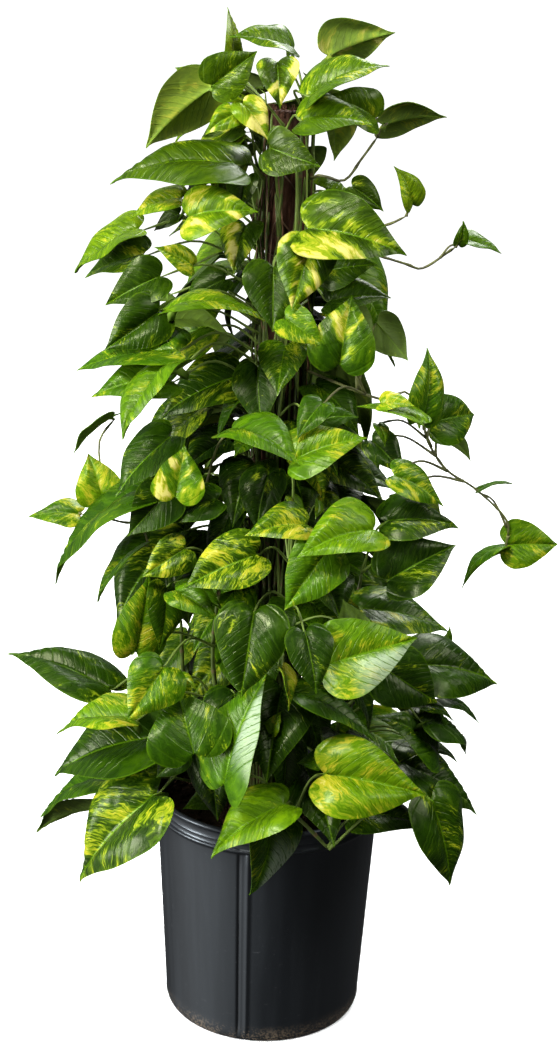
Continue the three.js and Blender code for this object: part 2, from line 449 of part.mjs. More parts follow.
// Pole: round, with an uneven bark surface.
const poleGeometry = new THREE.CylinderGeometry(POLE_RADIUS, POLE_RADIUS, POLE_TOP - POLE_FOOT - FIT, 12, 12)
  .rotateX(Math.PI / 2).translate(0, 0, (POLE_TOP + POLE_FOOT + FIT) / 2);
{
  const p = poleGeometry.attributes.position;
  for (let i = 0; i < p.count; i++) {
    const [x, y, z] = [p.getX(i), p.getY(i), p.getZ(i)];
    if (Math.hypot(x, y) < POLE_RADIUS / 2) continue;
    const bearing = Math.round(Math.atan2(y, x) * 1e4) / 1e4;
    const k = 1 + (BARK_RELIEF / POLE_RADIUS) * Math.sin(3 * bearing + z / 17) * Math.cos(2 * bearing - z / 29);
    p.setXYZ(i, x * k, y * k, z);
  }
}
const pole = solid(poleGeometry);

// Grow the leaves one after another. A leaf takes the first pose in which it stays clear of every other
// body; where its blade meets just one other leafy stem, it grows from that stem and joins it there.
const fixed = [["pot", pot], ["soil", soil], ["pole", pole]].map(([name, body]) => ({ name, body, box: body.boundingBox() }));
for (const stem of stems) {
  stem.placed = stem.parts.map((body) => ({ name: stem.name, body, box: body.boundingBox(), wood: true }));
}
const meets = (a, b) => [0, 1, 2].every((k) => a.min[k] <= b.max[k] && b.min[k] <= a.max[k]);
function touched(body, items) {
  const box = body.boundingBox();
  const names = new Set();
  for (const item of items) {
    if (names.has(item.name) || !meets(box, item.box)) continue;
    if (!body.intersect(item.body).isEmpty()) names.add(item.name);
  }
  return names;
}

const FORWARD = [[0, 0], [0.7, 0.7], [-0.7, -0.7], [0, 1.5], [1.5, 0], [0, -1.5], [-1.5, 0], [1.5, 1.5],
  [-1.5, -1.5], [1.5, -1.5], [-1.5, 1.5], [0, 3], [3, 0], [2.4, 2.4], [-2.4, -2.4], [-3, 0], [0, -3],
  [3.4, 3.4], [-3.4, -3.4], [4.5, 4.5], [-4.5, -4.5]];
const SWINGS = [[0, 0], [7, 0], [-7, 0], [0, 2], [0, -2], [14, 1], [-14, 1], [14, -2], [-14, -2], [21, 0],
  [-21, 0], [28, 2], [-28, 2], [28, -2], [-28, -2]];

function feet(leaf) {
  return stems.map((stem) => {
    let best = null;
    for (const p of stem.places) {
      const cost = p.distanceTo(leaf.foot) + 1.3 * Math.max(0, p.z - leaf.foot.z + 15);
      if (!best || cost < best.cost) best = { cost, p, stem };
    }
    return best;
  }).sort((a, b) => a.cost - b.cost);
}

function grow(poses) {
  for (const shared of [false, true]) {
    for (const leaf of poses) {
      const items = [...fixed, ...stems.flatMap((s) => s.placed)];
      const names = touched(blade(leaf, CLEARANCE), items);
      if (fixed.some((f) => names.has(f.name)) || names.size > (shared ? 1 : 0)) continue;
      for (const { p, stem } of feet(leaf).slice(0, shared ? 6 : 4)) {
        if (names.size === 1 && !names.has(stem.name)) continue;
        const others = items.filter((item) => item.name !== stem.name);
        const own = stem.placed.filter((item) => !item.wood);
        const free = BENDS.filter((bend) => !touched(stalk(leaf, p, bend, CLEARANCE).body, others).size);
        const clear = free.filter((bend) => !touched(stalk(leaf, p, bend).body, own).size);
        for (const bend of [...clear, ...free].slice(0, 1)) {
          const body = blade(leaf);
          const arm = stalk(leaf, p, bend).body;
          for (const b of [body, arm]) stem.placed.push({ name: stem.name, body: b, box: b.boundingBox() });
          stem.parts.push(arm, body);
          return true;
        }
      }
    }
  }
  return false;
}

const front = FRONT.map((row, id) => FORWARD.map((f) => frontLeaf(row, id, f)))
  .filter((poses) => poses[0].length > LEAST_BLADE)
  .sort((a, b) => b[0].length * b[0].seen - a[0].length * a[0].seen);
front.forEach((poses) => grow(poses));
for (let n = 0; n < SIDE_LEAVES; n++) {
  grow(SWINGS.map(([turnBy, lift]) => sideLeaf(n, FRONT.length + n, turnBy, lift)));
}

// The outer surface of the largest body in a joined solid.
function outerShell(body) {
  const mesh = body.getMesh();
  const p = mesh.vertProperties;
  const tri = mesh.triVerts;
  const group = Int32Array.from({ length: p.length / mesh.numProp }, (_, i) => i);
  const root = (i) => { while (group[i] !== i) i = group[i] = group[group[i]]; return i; };
  for (let i = 0; i < tri.length; i += 3) {
    group[root(tri[i])] = root(tri[i + 1]);
    group[root(tri[i + 2])] = root(tri[i + 1]);
  }
  const volume = new Map();
  for (let i = 0; i < tri.length; i += 3) {
    const [A, B, C] = [0, 1, 2].map((k) => V(...p.subarray(3 * tri[i + k], 3 * tri[i + k] + 3)));
    const r = root(tri[i]);
    volume.set(r, (volume.get(r) || 0) + A.dot(B.cross(C)));
  }
  const best = [...volume].sort((a, b) => b[1] - a[1])[0][0];
  const keep = [];
  for (let i = 0; i < tri.length; i += 3) if (root(tri[i]) === best) keep.push(tri[i], tri[i + 1], tri[i + 2]);
  const g = new THREE.BufferGeometry();
  g.setAttribute("position", new THREE.BufferAttribute(Float32Array.from(p), 3));
  g.setIndex(keep);
  const used = g.toNonIndexed();
  return mergeVertices(used, 1e-4);
}

const paint = (colour, roughness) => new THREE.MeshStandardMaterial({ color: colour, roughness, metalness: 0 });
const GREEN = paint(0x3f6b1c, 0.35);
const plant = new THREE.Group();
plant.name = "potted_golden_pothos";
function place(name, body, material) {
  const mesh = new THREE.Mesh(outerShell(body), material);
  mesh.name = name;
  plant.add(mesh);
}
place("pot", pot, paint(0x23262b, 0.5));
place("soil", soil, paint(0x2a1d14, 0.95));
place("climbing_pole", pole, paint(0x4a2a1e, 0.9));
for (const stem of stems) {
  place(stem.name, stem.parts.reduce((a, b) => a.add(b)), GREEN);
}

export default plant;
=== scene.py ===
import math

import bmesh
import bpy
from bpy.props import FloatProperty, FloatVectorProperty, IntProperty, PointerProperty
from bpy.types import Operator, Panel, PropertyGroup
from mathutils import Matrix, Vector, noise
from mathutils.bvhtree import BVHTree
from mathutils.kdtree import KDTree


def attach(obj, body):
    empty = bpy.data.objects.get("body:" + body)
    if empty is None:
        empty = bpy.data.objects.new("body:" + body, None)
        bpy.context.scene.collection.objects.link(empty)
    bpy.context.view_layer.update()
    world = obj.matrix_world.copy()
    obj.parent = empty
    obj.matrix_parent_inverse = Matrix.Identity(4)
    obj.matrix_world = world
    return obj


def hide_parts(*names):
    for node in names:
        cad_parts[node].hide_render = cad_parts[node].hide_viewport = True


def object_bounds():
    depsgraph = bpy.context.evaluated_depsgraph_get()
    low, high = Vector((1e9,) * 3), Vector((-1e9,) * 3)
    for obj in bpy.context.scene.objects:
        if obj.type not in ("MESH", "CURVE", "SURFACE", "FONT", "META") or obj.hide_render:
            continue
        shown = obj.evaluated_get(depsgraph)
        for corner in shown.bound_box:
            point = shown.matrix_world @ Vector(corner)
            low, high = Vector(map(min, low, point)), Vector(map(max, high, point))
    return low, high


bl_info = {
    "name": "Potted golden pothos",
    "version": (1, 0, 0),
    "blender": (4, 5, 0),
    "location": "3D View > Sidebar > Pothos",
    "description": "Leaves, stems, pole, soil and pot of a climbing golden pothos",
    "category": "Object",
}

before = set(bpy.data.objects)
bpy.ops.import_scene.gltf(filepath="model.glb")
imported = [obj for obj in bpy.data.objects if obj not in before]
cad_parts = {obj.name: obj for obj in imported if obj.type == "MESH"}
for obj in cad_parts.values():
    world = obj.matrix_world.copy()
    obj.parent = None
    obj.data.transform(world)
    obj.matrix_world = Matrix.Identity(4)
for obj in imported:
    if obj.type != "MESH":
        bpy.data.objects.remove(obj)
CAD_BOX = [list(corner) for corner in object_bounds()]

MM = 0.001
BODY = "root"

# Front leaves, placed as in the part's source: foot x, foot z, foot depth, tip x, tip z, tip depth, seen
# width, side, colour. Centimetres on the upright plane through the pot's axis, seen from the eye point. A
# colour is a tone from 0 to 9 in its tens and a paleness from 0 to 9 in its units; 100 more gives large
# marks, and 1000 or 2000 more a painted whitish sheen on one half, which stands for a reflection of light.
FRONT = [
  [-6.5, 103.4, 2, -6.2, 110.1, 0, 1.8, 0, 72], [0.0, 106.3, 0, -6.0, 107.3, 2, 2.2, 0, 41],
  [-7.8, 102.3, 4, -14.3, 96.2, 5, 5.8, 2, 85], [-7.9, 102.4, -1, -11.4, 104.2, -4, 3.0, 0, 42],
  [-7.6, 102.6, 6, -3.2, 106.0, 5, 4.5, 0, 33], [-1.2, 105.0, 5, -0.8, 100.5, 7, 3.9, 0, 126],
  [-4.5, 100.9, 8, -1.8, 97.3, 9, 3.0, 0, 169], [-5.0, 100.0, 7, -8.3, 97.7, 8, 2.5, 0, 158],
  [-5.3, 94.9, 6, -17.9, 92.6, 5, 4.2, 0, 32], [-1.7, 96.6, 10, 3.5, 94.9, 12, 4.6, 0, 21],
  [-10.7, 91.3, 5, -15.8, 89.1, 4, 2.2, 0, 65], [-9.8, 89.5, 8, -2.7, 90.2, 10, 5.0, 0, 153],
  [-10.9, 89.7, 2, -13.4, 87.9, 1, 1.6, 0, 10], [-15.1, 88.0, 3, -21.6, 83.4, 2, 2.6, 0, 63],
  [-14.5, 85.5, 2, -20.5, 82.9, 0, 3.0, 0, 33], [-12.7, 83.3, 7, -18.4, 80.1, 8, 4.4, 0, 21],
  [-11.8, 81.6, 1, -16.2, 81.0, -1, 2.2, 2, 40], [-9.4, 84.6, 7, -13.3, 86.3, 8, 2.6, 0, 46],
  [-6.0, 83.2, 6, -10.4, 80.3, 6, 3.0, 0, 20], [-11.3, 79.9, 9, -1.1, 78.7, 11, 1.8, 0, 63],
  [-12.0, 79.0, 8, -5.3, 77.3, 9, 2.4, 2, 73], [-12.8, 79.6, 8, -18.5, 75.3, 9, 5.2, 0, 21],
  [-11.0, 75.6, 10, -21.4, 73.2, 8, 3.5, 0, 44], [-11.5, 72.3, 11, -19.9, 70.3, 12, 4.2, 0, 51],
  [-11.0, 73.6, 13, -16.6, 65.8, 15, 3.0, 0, 62], [3.8, 105.8, 3, 10.4, 108.2, 1, 4.8, 2, 158],
  [2.3, 102.0, 5, 10.0, 105.0, 5, 3.0, 0, 45], [8.8, 99.9, 7, 3.3, 101.7, 8, 3.8, 0, 42],
  [9.6, 99.3, 2, 16.0, 100.2, 1, 3.2, 2, 44], [1.5, 99.5, 9, 8.6, 99.2, 10, 3.8, 0, 42],
  [6.8, 93.0, 7, 10.1, 90.6, 7, 2.6, 0, 20], [2.4, 88.7, 12, 12.7, 86.2, 13, 6.8, 0, 124],
  [13.0, 91.4, 5, 10.9, 95.2, 5, 2.4, 0, 65], [17.9, 87.5, 3, 18.3, 89.9, 3, 1.4, 0, 41],
  [18.5, 88.0, 3, 22.4, 86.7, 3, 1.3, 0, 41], [2.7, 87.2, 13, 1.0, 80.1, 15, 6.0, 0, 136],
  [0.4, 79.3, 13, 4.5, 76.5, 14, 3.6, 0, 55], [-1.0, 84.6, 10, -0.9, 77.8, 12, 6.2, 0, 20],
  [4.3, 84.3, 9, 9.7, 85.2, 10, 4.0, 0, 31], [4.9, 81.2, 10, 11.3, 81.8, 11, 3.4, 0, 20],
  [7.2, 80.3, 9, 9.5, 77.2, 10, 2.6, 2, 30], [9.9, 79.1, 7, 13.4, 75.2, 8, 4.0, 2, 31],
  [6.2, 74.6, 14, 7.2, 82.0, 12, 6.6, 0, 135], [15.2, 69.2, 9, 15.3, 76.7, 8, 3.7, 0, 44],
  [16.4, 68.8, 8, 20.7, 69.7, 3, 5.2, 0, 33], [10.8, 70.6, 14, 14.3, 70.4, 15, 2.0, 0, 78],
  [15.0, 68.6, 12, 8.2, 70.2, 13, 1.4, 0, 73], [-17.6, 68.3, 5, -21.8, 64.1, 5, 1.0, 2, 61],
  [-18.6, 59.2, 6, -20.2, 64.2, 5, 4.9, 0, 78], [-11.5, 66.2, 11, -17.3, 59.4, 12, 4.6, 0, 21],
  [-10.8, 59.6, 15, -9.9, 65.4, 13, 5.4, 0, 157], [-21.3, 57.4, 4, -26.7, 56.9, 4, 2.8, 0, 45],
  [-14.0, 60.4, 10, -23.9, 49.3, 8, 2.4, 0, 32], [-14.0, 54.3, 9, -19.3, 47.4, 9, 1.7, 0, 43],
  [-11.5, 60.3, 9, -16.0, 55.0, 10, 5.0, 0, 10], [-6.5, 59.5, 13, -12.5, 56.5, 13, 3.8, 0, 11],
  [-9.8, 53.8, 14, -14.4, 50.4, 15, 4.4, 0, 26], [-2.0, 53.4, 17, -9.9, 49.3, 18, 6.0, 0, 26],
  [-4.8, 67.2, 14, 2.4, 63.6, 17, 4.4, 0, 52], [1.7, 64.2, 17, 9.5, 66.8, 16, 5.0, 0, 64],
  [4.5, 70.4, 14, 2.0, 66.4, 16, 3.2, 0, 31], [3.5, 68.3, 12, 8.5, 69.0, 12, 3.0, 0, 31],
  [10.5, 56.6, 18, 2.4, 53.2, 21, 5.8, 0, 72], [5.6, 54.0, 18, 1.2, 47.1, 20, 6.2, 0, 54],
  [3.2, 57.0, 16, -3.3, 55.5, 18, 4.0, 0, 37], [12.6, 62.8, 13, 18.0, 59.5, 12, 3.4, 0, 44],
  [13.5, 61.0, 9, 18.0, 58.0, 8, 3.6, 2, 35], [12.0, 57.6, 12, 19.8, 57.1, 11, 4.4, 0, 11],
  [12.5, 51.0, 14, 19.6, 55.2, 11, 6.2, 0, 12], [25.0, 55.4, 6, 30.6, 55.6, 5, 5.0, 0, 65],
  [24.7, 54.8, 6, 20.4, 50.2, 7, 0.9, 0, 42], [21.6, 61.5, 7, 25.2, 62.3, 7, 0.6, 0, 31],
  [16.8, 68.0, 8, 20.6, 64.6, 7, 1.8, 2, 31], [10.6, 68.3, 12, 11.4, 65.9, 13, 1.4, 0, 55],
  [10.0, 66.5, 10, 13.5, 62.8, 11, 3.4, 0, 10], [1.6, 60.0, 14, 2.7, 57.3, 15, 1.3, 0, 64],
  [4.6, 59.6, 12, 4.3, 57.6, 13, 0.9, 0, 63], [-15.0, 41.8, 15, -13.6, 50.9, 12, 5.6, 0, 55],
  [-18.0, 37.2, 9, -29.2, 41.1, 6, 4.9, 0, 21], [-11.9, 39.9, 19, -15.9, 33.5, 21, 6.4, 0, 46],
  [-15.3, 33.6, 17, -23.9, 31.6, 15, 3.0, 0, 65], [-11.6, 49.3, 13, -12.4, 42.0, 15, 4.2, 0, 33],
  [-10.6, 49.0, 15, -5.9, 45.6, 17, 3.4, 0, 53], [-10.6, 38.7, 17, -8.2, 37.6, 18, 1.2, 0, 65],
  [-8.4, 29.7, 21, -10.4, 37.4, 17, 9.2, 0, 32], [-13.0, 31.6, 15, -24.2, 26.4, 12, 7.0, 0, 20],
  [-15.0, 27.0, 12, -26.1, 21.0, 10, 3.4, 0, 31], [-18.5, 22.6, 9, -26.3, 19.4, 7, 1.6, 2, 30],
  [-2.1, 46.7, 19, -3.3, 36.5, 21, 7.8, 0, 20], [-4.9, 26.1, 21, -0.5, 39.6, 19, 6.6, 0, 1052],
  [0.2, 32.5, 18, 1.3, 35.2, 17, 1.6, 0, 74], [1.2, 40.2, 18, 2.1, 35.2, 19, 1.2, 0, 48],
  [3.6, 44.6, 16, 5.1, 37.3, 18, 5.0, 0, 10], [6.4, 41.0, 20, 16.0, 44.4, 19, 8.4, 0, 1064],
  [9.4, 44.3, 16, 7.6, 48.6, 14, 3.8, 2, 61], [-9.2, 49.0, 13, -5.6, 47.0, 16, 2.4, 0, 30],
  [2.8, 37.4, 17, 11.9, 31.9, 18, 2.8, 0, 31], [9.8, 47.6, 13, 19.4, 45.2, 12, 4.8, 0, 34],
  [18.7, 42.6, 7, 19.5, 46.0, 6, 1.2, 0, 53], [16.2, 41.2, 10, 25.2, 39.2, 6, 6.2, 0, 20],
  [18.8, 37.3, 9, 23.4, 34.5, 8, 0.9, 0, 20], [17.2, 36.3, 12, 20.6, 34.6, 12, 1.0, 0, 20],
  [17.4, 34.4, 10, 22.2, 30.7, 9, 1.4, 0, 10], [18.3, 31.2, 10, 21.3, 29.6, 10, 0.8, 0, 20],
  [12.6, 40.6, 16, 18.6, 36.7, 15, 6.8, 0, 11], [18.6, 31.0, 12, 11.8, 35.0, 14, 4.4, 0, 31],
  [-0.5, 47.6, 15, 2.4, 43.0, 17, 3.4, 0, 20], [-12.8, 24.4, 18, -21.4, 13.2, 17, 8.0, 0, 16],
  [-9.8, 29.8, 18, -12.6, 26.6, 18, 3.4, 0, 10], [-5.8, 24.6, 12, -9.6, 22.8, 13, 2.6, 0, 62],
  [2.0, 23.8, 16, -6.3, 16.7, 18, 5.6, 0, 72], [0.6, 22.4, 14, -1.7, 12.1, 16, 5.2, 0, 2043],
  [1.6, 31.5, 15, 1.4, 24.5, 16, 3.8, 0, 20], [6.4, 27.7, 20, 17.9, 25.5, 19, 8.6, 0, 75],
  [5.9, 29.4, 16, 3.2, 28.9, 17, 2.2, 0, 40], [15.0, 29.2, 13, 23.9, 23.2, 10, 4.8, 0, 11],
  [10.2, 22.8, 15, 18.6, 21.4, 15, 4.4, 0, 20], [18.6, 24.8, 16, 21.3, 14.1, 16, 6.0, 0, 22],
]
EYE = (0.36, -175.4, 109.9)
EYE_DISTANCE = 175.4
SIDE_LEAVES = 42
# How far the foliage reaches, in centimetres: height, reach to the back and front, to the left, to the right.
REACH = [(20, 15, 17, 17), (27, 22, 19, 18), (36, 25, 17, 18), (46, 24, 15, 13), (56, 23, 16, 14),
         (65, 21, 17, 14), (75, 19, 15, 10), (81, 18, 15, 6), (90, 16, 12, 7), (100, 13, 11, 6),
         (108, 9, 8, 5)]
SEED = 20259
# Share of a turn, and the degrees, that spread leaves evenly round the pole.
GOLDEN_SHARE = 0.618034
GOLDEN_TURN = 137.508

# Climbing stems: name, bearing, height of the tip. Shoots: name, bearing, place of the root, lean, height.
CLIMBERS = [
    ("leafy_vine_front", 262, 990), ("leafy_vine_front_left", 214, 1010), ("leafy_vine_left", 172, 960),
    ("leafy_vine_back_left", 128, 985), ("leafy_vine_back", 84, 940), ("leafy_vine_back_right", 40, 995),
    ("leafy_vine_right", 352, 1000), ("leafy_vine_front_right", 308, 1015),
]
CLIMBER_RADIUS = 25.8
CLIMBER_ROOT = 31
SHOOTS = [
    ("leafy_shoot_front", 280, 66, 46, 560), ("leafy_shoot_front_left", 238, 68, 44, 540),
    ("leafy_shoot_left", 194, 64, 40, 470), ("leafy_shoot_back_left", 146, 64, 42, 480),
    ("leafy_shoot_back", 100, 66, 44, 500), ("leafy_shoot_back_right", 56, 64, 42, 480),
    ("leafy_shoot_right", 12, 66, 42, 470), ("leafy_shoot_front_right", 322, 68, 46, 540),
]
# The trailing stem and the twigs, seen on the plane in centimetres: x, z, depth.
TRAILER = [(2.3, 24.6, 13.2), (2.4, 23.4, 15.4), (4.8, 20.9, 15.9), (7.2, 18.3, 15.9)]
TRAILER_FOOT = (30, -92)
TWIGS = [
    ("leafy_vine_right", 740, [(9.0, 71.5, 9), (14.6, 69.6, 9.6), (16.0, 66.4, 9), (18.0, 63.6, 8.5),
                               (21.3, 61.5, 7.5), (24.9, 58.0, 6.5), (25.1, 56.4, 6.2)]),
    ("leafy_vine_right", 900, [(6.6, 88.6, 6), (10.6, 89.3, 6), (12.4, 90.2, 5.6)]),
    ("leafy_vine_right", 935, [(3.7, 94.0, 4.4), (5.9, 93.6, 3.8), (7.6, 95.8, 3), (9.1, 98.0, 2.4)]),
    ("leafy_vine_front_right", 880, [(8.4, 86.4, 8), (12.7, 85.3, 6.5), (14.2, 84.9, 5.4),
                                     (17.6, 87.2, 3.4)]),
    ("leafy_vine_front_left", 620, [(-10.0, 58.6, 8), (-15.5, 56.6, 6.5), (-18.3, 57.0, 5),
                                    (-21.0, 57.4, 4.2)]),
]
# Thin young vines in front of the pole, which only this scene has: bearing, radius, top and thickness.
THIN_VINES = [(247, 34, 905, 2.1), (278, 33.5, 960, 2.4), (291, 36, 850, 1.8), (232, 36.5, 780, 1.7),
              (266, 38, 700, 1.6), (238, 27, 1001, 1.7), (287, 27, 996, 1.6), (256, 29, 990, 2.2),
              (271, 31, 948, 1.9), (300, 30, 1000, 1.7), (262, 34, 925, 1.6), (312, 29, 940, 2.0)]
# The heart's margin: share of the length and half width, from the notch to the tip.
OUTLINE = [(0, 0), (-0.09, 0.22), (-0.125, 0.5), (-0.05, 0.82), (0.12, 1), (0.34, 0.93),
           (0.55, 0.7), (0.74, 0.4), (0.88, 0.15), (0.96, 0.045), (1, 0)]
BLADE_ROWS = (0, 0.2, 0.42, 0.7, 1)
SMALL_BLADE_ROWS = (0, 0.26, 0.6, 1)
SMALL_BLADE = 66
FULL_BLADE = 90
SOLID_THICKNESS = 1.2
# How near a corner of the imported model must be, and what share of the corners, for a pose to be the one.
CORNER_GAP = 0.2
LEAST_SHARE = 0.4
BLADE_WIDTH = 0.74
FACET_SPREAD = 1.05
STALK_RADIUS = 1.4
STEM_RADIUS = 3.2
SHOOT_RADIUS = 2.8
TWIG_RADIUS = 1.7
POT_HEIGHT = 265
POT_BASE_RADIUS = 110
POT_RING_RADIUS = 124.6
BASE_FLARE = 1
SEAM_HALF_DEGREES = range(-5, 18)
DRAIN_HOLES = 6
DRAIN_RADIUS = 9
DRAIN_CIRCLE = 86
POT_WALL = 2.2
POT_FLOOR = 3
RING_Z = 241
SOIL_TOP = 243
STEM_FOOT = 205.3
POLE_RADIUS = 20
POLE_TOP = 1003
POLE_FOOT = 60
# The spacing of a stem's joints, and the marks by which one material tells stems, stalks, twigs and roots
# apart.
NODE_SPACING = 46
GREEN_STEM, GREEN_STALK, BROWN_TWIG, ROOT_BROWN = 0.1, 0.3, 0.6, 0.9
# What the model tried until a leaf stood clear: forward moves of a front leaf's foot and tip, in centimetres,
# and turns in degrees and lifts in centimetres of the other leaves.
FORWARD = [(0, 0), (0.7, 0.7), (-0.7, -0.7), (0, 1.5), (1.5, 0), (0, -1.5), (-1.5, 0), (1.5, 1.5),
           (-1.5, -1.5), (1.5, -1.5), (-1.5, 1.5), (0, 3), (3, 0), (2.4, 2.4), (-2.4, -2.4), (-3, 0), (0, -3),
           (3.4, 3.4), (-3.4, -3.4), (4.5, 4.5), (-4.5, -4.5)]
SWINGS = [(0, 0), (7, 0), (-7, 0), (0, 2), (0, -2), (14, 1), (-14, 1), (14, -2), (-14, -2), (21, 0),
          (-21, 0), (28, 2), (-28, 2), (28, -2), (-28, -2)]
# Sideways and upward bends of a stalk, as shares of its reach.
BENDS = [(0, 0.18), (0, 0.34), (0.22, 0.18), (-0.22, 0.18), (0, 0.02), (0.4, 0.1), (-0.4, 0.1)]
# First numbers of the series of repeatable draws, one series for each kind of small thing.
INNER_ITEMS = 1000
AIR_ROOT_ITEMS = 3000
HANGING_ROOT_ITEMS = 4000
CRUMB_ITEMS = 5000
FIBRE_ITEMS = 8000
TOP_FIBRE_ITEMS = 8600
HANGING_ROOTS = 26
FIBRES = 230
TOP_FIBRES = 150

# The studio, in metres: where the floor's light comes from, and the lamps with their size and share of power.
FLOOR_LIGHT_FROM = (-0.91, -0.41, 0)
FLOOR_RADIUS = 42
BACKDROP_RADIUS = 40
STAGE_COLOUR = (0.86, 0.86, 0.86)
SENSOR_WIDTH = 36
LAMPS_FACE = (0, 0, 0.62)
LAMPS = (("key_light", (-1.0, -1.5, 2.7), 0.8, 2.0, (1, 0.985, 0.95)),
         ("left_light", (-2.2, -1.0, 0.7), 1.3, 2.0, (0.96, 0.98, 1)),
         ("right_light", (2.0, -0.9, 2.3), 1.5, 1.0, (0.98, 0.99, 1)),
         ("back_light", (0.7, 1.7, 2.7), 1.4, 1.2, (0.98, 0.99, 1)),
         ("back_fill", (-0.6, 1.8, 2.2), 1.4, 1.1, (0.98, 0.99, 1)))


# Settings that a user may change.


class PothosFoliageSettings(PropertyGroup):
    blade_thickness: FloatProperty(
        name="Blade thickness", description="Thickness of a leaf blade", default=0.0007,
        min=0.0003, max=0.002, subtype="DISTANCE", unit="LENGTH")
    vein_relief: FloatProperty(
        name="Vein relief", description="How far a blade swells between its side veins", default=0.0007,
        min=0, max=0.002, subtype="DISTANCE", unit="LENGTH")
    fill_leaves: IntProperty(
        name="Inner leaves", description="Leaves tried inside the plant, besides those of the packed model",
        default=320, min=0, max=400)
    deep_green: FloatVectorProperty(
        name="Deep green", description="Colour of the darkest leaves", default=(0.0085, 0.0265, 0.0010),
        subtype="COLOR", min=0, max=1)
    leaf_green: FloatVectorProperty(
        name="Leaf green", description="Colour of a common leaf", default=(0.033, 0.098, 0.0012),
        subtype="COLOR", min=0, max=1)
    lime: FloatVectorProperty(
        name="Lime", description="Colour of the lightest young leaves", default=(0.105, 0.205, 0.002),
        subtype="COLOR", min=0, max=1)
    splash: FloatVectorProperty(
        name="Splash", description="Colour of the yellow marks on a leaf", default=(0.320, 0.310, 0.014),
        subtype="COLOR", min=0, max=1)
    cream: FloatVectorProperty(
        name="Cream", description="Colour of the palest marks on a leaf", default=(0.500, 0.460, 0.120),
        subtype="COLOR", min=0, max=1)
    stalk_green: FloatVectorProperty(
        name="Stalk green", description="Colour of leaf stalks and young stems",
        default=(0.130, 0.190, 0.035), subtype="COLOR", min=0, max=1)


class PothosPotSettings(PropertyGroup):
    plastic: FloatVectorProperty(
        name="Plastic", description="Colour of the pot", default=(0.0036, 0.0043, 0.0054), subtype="COLOR",
        min=0, max=1)
    seam_bearing: FloatProperty(
        name="Seam bearing", description="Bearing of the front mould seam, from +X",
        default=math.radians(257), subtype="ANGLE", unit="ROTATION")
    bark: FloatVectorProperty(
        name="Bark", description="Colour of the bark on the pole", default=(0.070, 0.030, 0.016),
        subtype="COLOR", min=0, max=1)
    soil: FloatVectorProperty(
        name="Soil", description="Colour of the potting mix", default=(0.040, 0.024, 0.015),
        subtype="COLOR", min=0, max=1)
    crumbs: IntProperty(
        name="Crumbs", description="Bark chips and crumbs on the soil", default=620, min=0, max=2000)


class PothosStageSettings(PropertyGroup):
    lens: FloatProperty(name="Lens", description="Focal length of the camera in millimetres", default=58.73)
    tilt: FloatProperty(
        name="Tilt", description="How far the camera looks down", default=math.radians(16.7), subtype="ANGLE",
        unit="ROTATION")
    roll: FloatProperty(
        name="Roll", description="How far the camera leans", default=math.radians(1.75), subtype="ANGLE",
        unit="ROTATION")
    eye: FloatVectorProperty(
        name="Eye", description="Place of the camera", default=(0.0036, -1.754, 1.099), subtype="TRANSLATION",
        unit="LENGTH")
    key_power: FloatProperty(
        name="Key light", description="Power of the large soft light", default=56,
        subtype="POWER", unit="POWER")
    sky: FloatProperty(name="Sky", description="Strength of the even light from above", default=0.28)
    horizon: FloatProperty(
        name="Horizon", description="Strength of the even light from the sides", default=0.22)
    right_side: FloatProperty(
        name="Right side", description="Share of the even light on the right", default=0.15)
    floor_light: FloatProperty(
        name="Floor light", description="Light that the floor sends back at the front left", default=0.74)
    floor_glow: FloatProperty(name="Floor glow", description="Light of the floor itself", default=0.35)


# Rules of growth, as in the part's source.


def draw(item, use):
    """A repeatable number from 0 to 1 for an item and a use."""
    s = ((item + 1) * 2654435761 ^ (use + 7) * (40503 * SEED)) & 0xFFFFFFFF
    for _ in range(3):
        s = (s * 1664525 + 1013904223) & 0xFFFFFFFF
    return s / 4294967296


def seen(x, z, depth):
    """A point seen at x, z on the plane, moved forward by a depth along the line of sight."""
    t = (EYE_DISTANCE - depth) / EYE_DISTANCE
    return Vector((EYE[0] + (x - EYE[0]) * t, EYE[1] * (1 - t), EYE[2] + (z - EYE[2]) * t)) * 10


def outline_straight(a):
    last = len(OUTLINE) - 1
    f = min(max(a, 0), 1) * last
    i = min(int(f), last - 1)
    return [OUTLINE[i][c] + (OUTLINE[i + 1][c] - OUTLINE[i][c]) * (f - i) for c in (0, 1)]


def outline_smooth(a):
    last = len(OUTLINE) - 1
    f = min(max(a, 0), 1) * last
    i = min(int(f), last - 1)
    t = f - i
    four = [OUTLINE[min(max(i + d, 0), last)] for d in (-1, 0, 1, 2)]
    return [0.5 * (2 * p1 + (p2 - p0) * t + (2 * p0 - 5 * p1 + 4 * p2 - p3) * t * t
                   + (3 * p1 - p0 - 3 * p2 + p3) * t ** 3)
            for p0, p1, p2, p3 in zip(*four)]


def reach_at(z, bearing):
    """How far the foliage reaches at a height and a bearing: an oval of the table's reaches."""
    i = 0
    while i < len(REACH) - 2 and z > REACH[i + 1][0]:
        i += 1
    low, high = REACH[i], REACH[i + 1]
    share = (z - low[0]) / (high[0] - low[0])
    back, left, right = (max(low[k] + (high[k] - low[k]) * share, 4) for k in (1, 2, 3))
    c, s = math.cos(math.radians(bearing)), math.sin(math.radians(bearing))
    return 1 / math.hypot(c / (left if c < 0 else right), s / back)


def bearing_point(degrees, radius, z):
    angle = math.radians(degrees)
    return Vector((math.cos(angle) * radius, math.sin(angle) * radius, z))


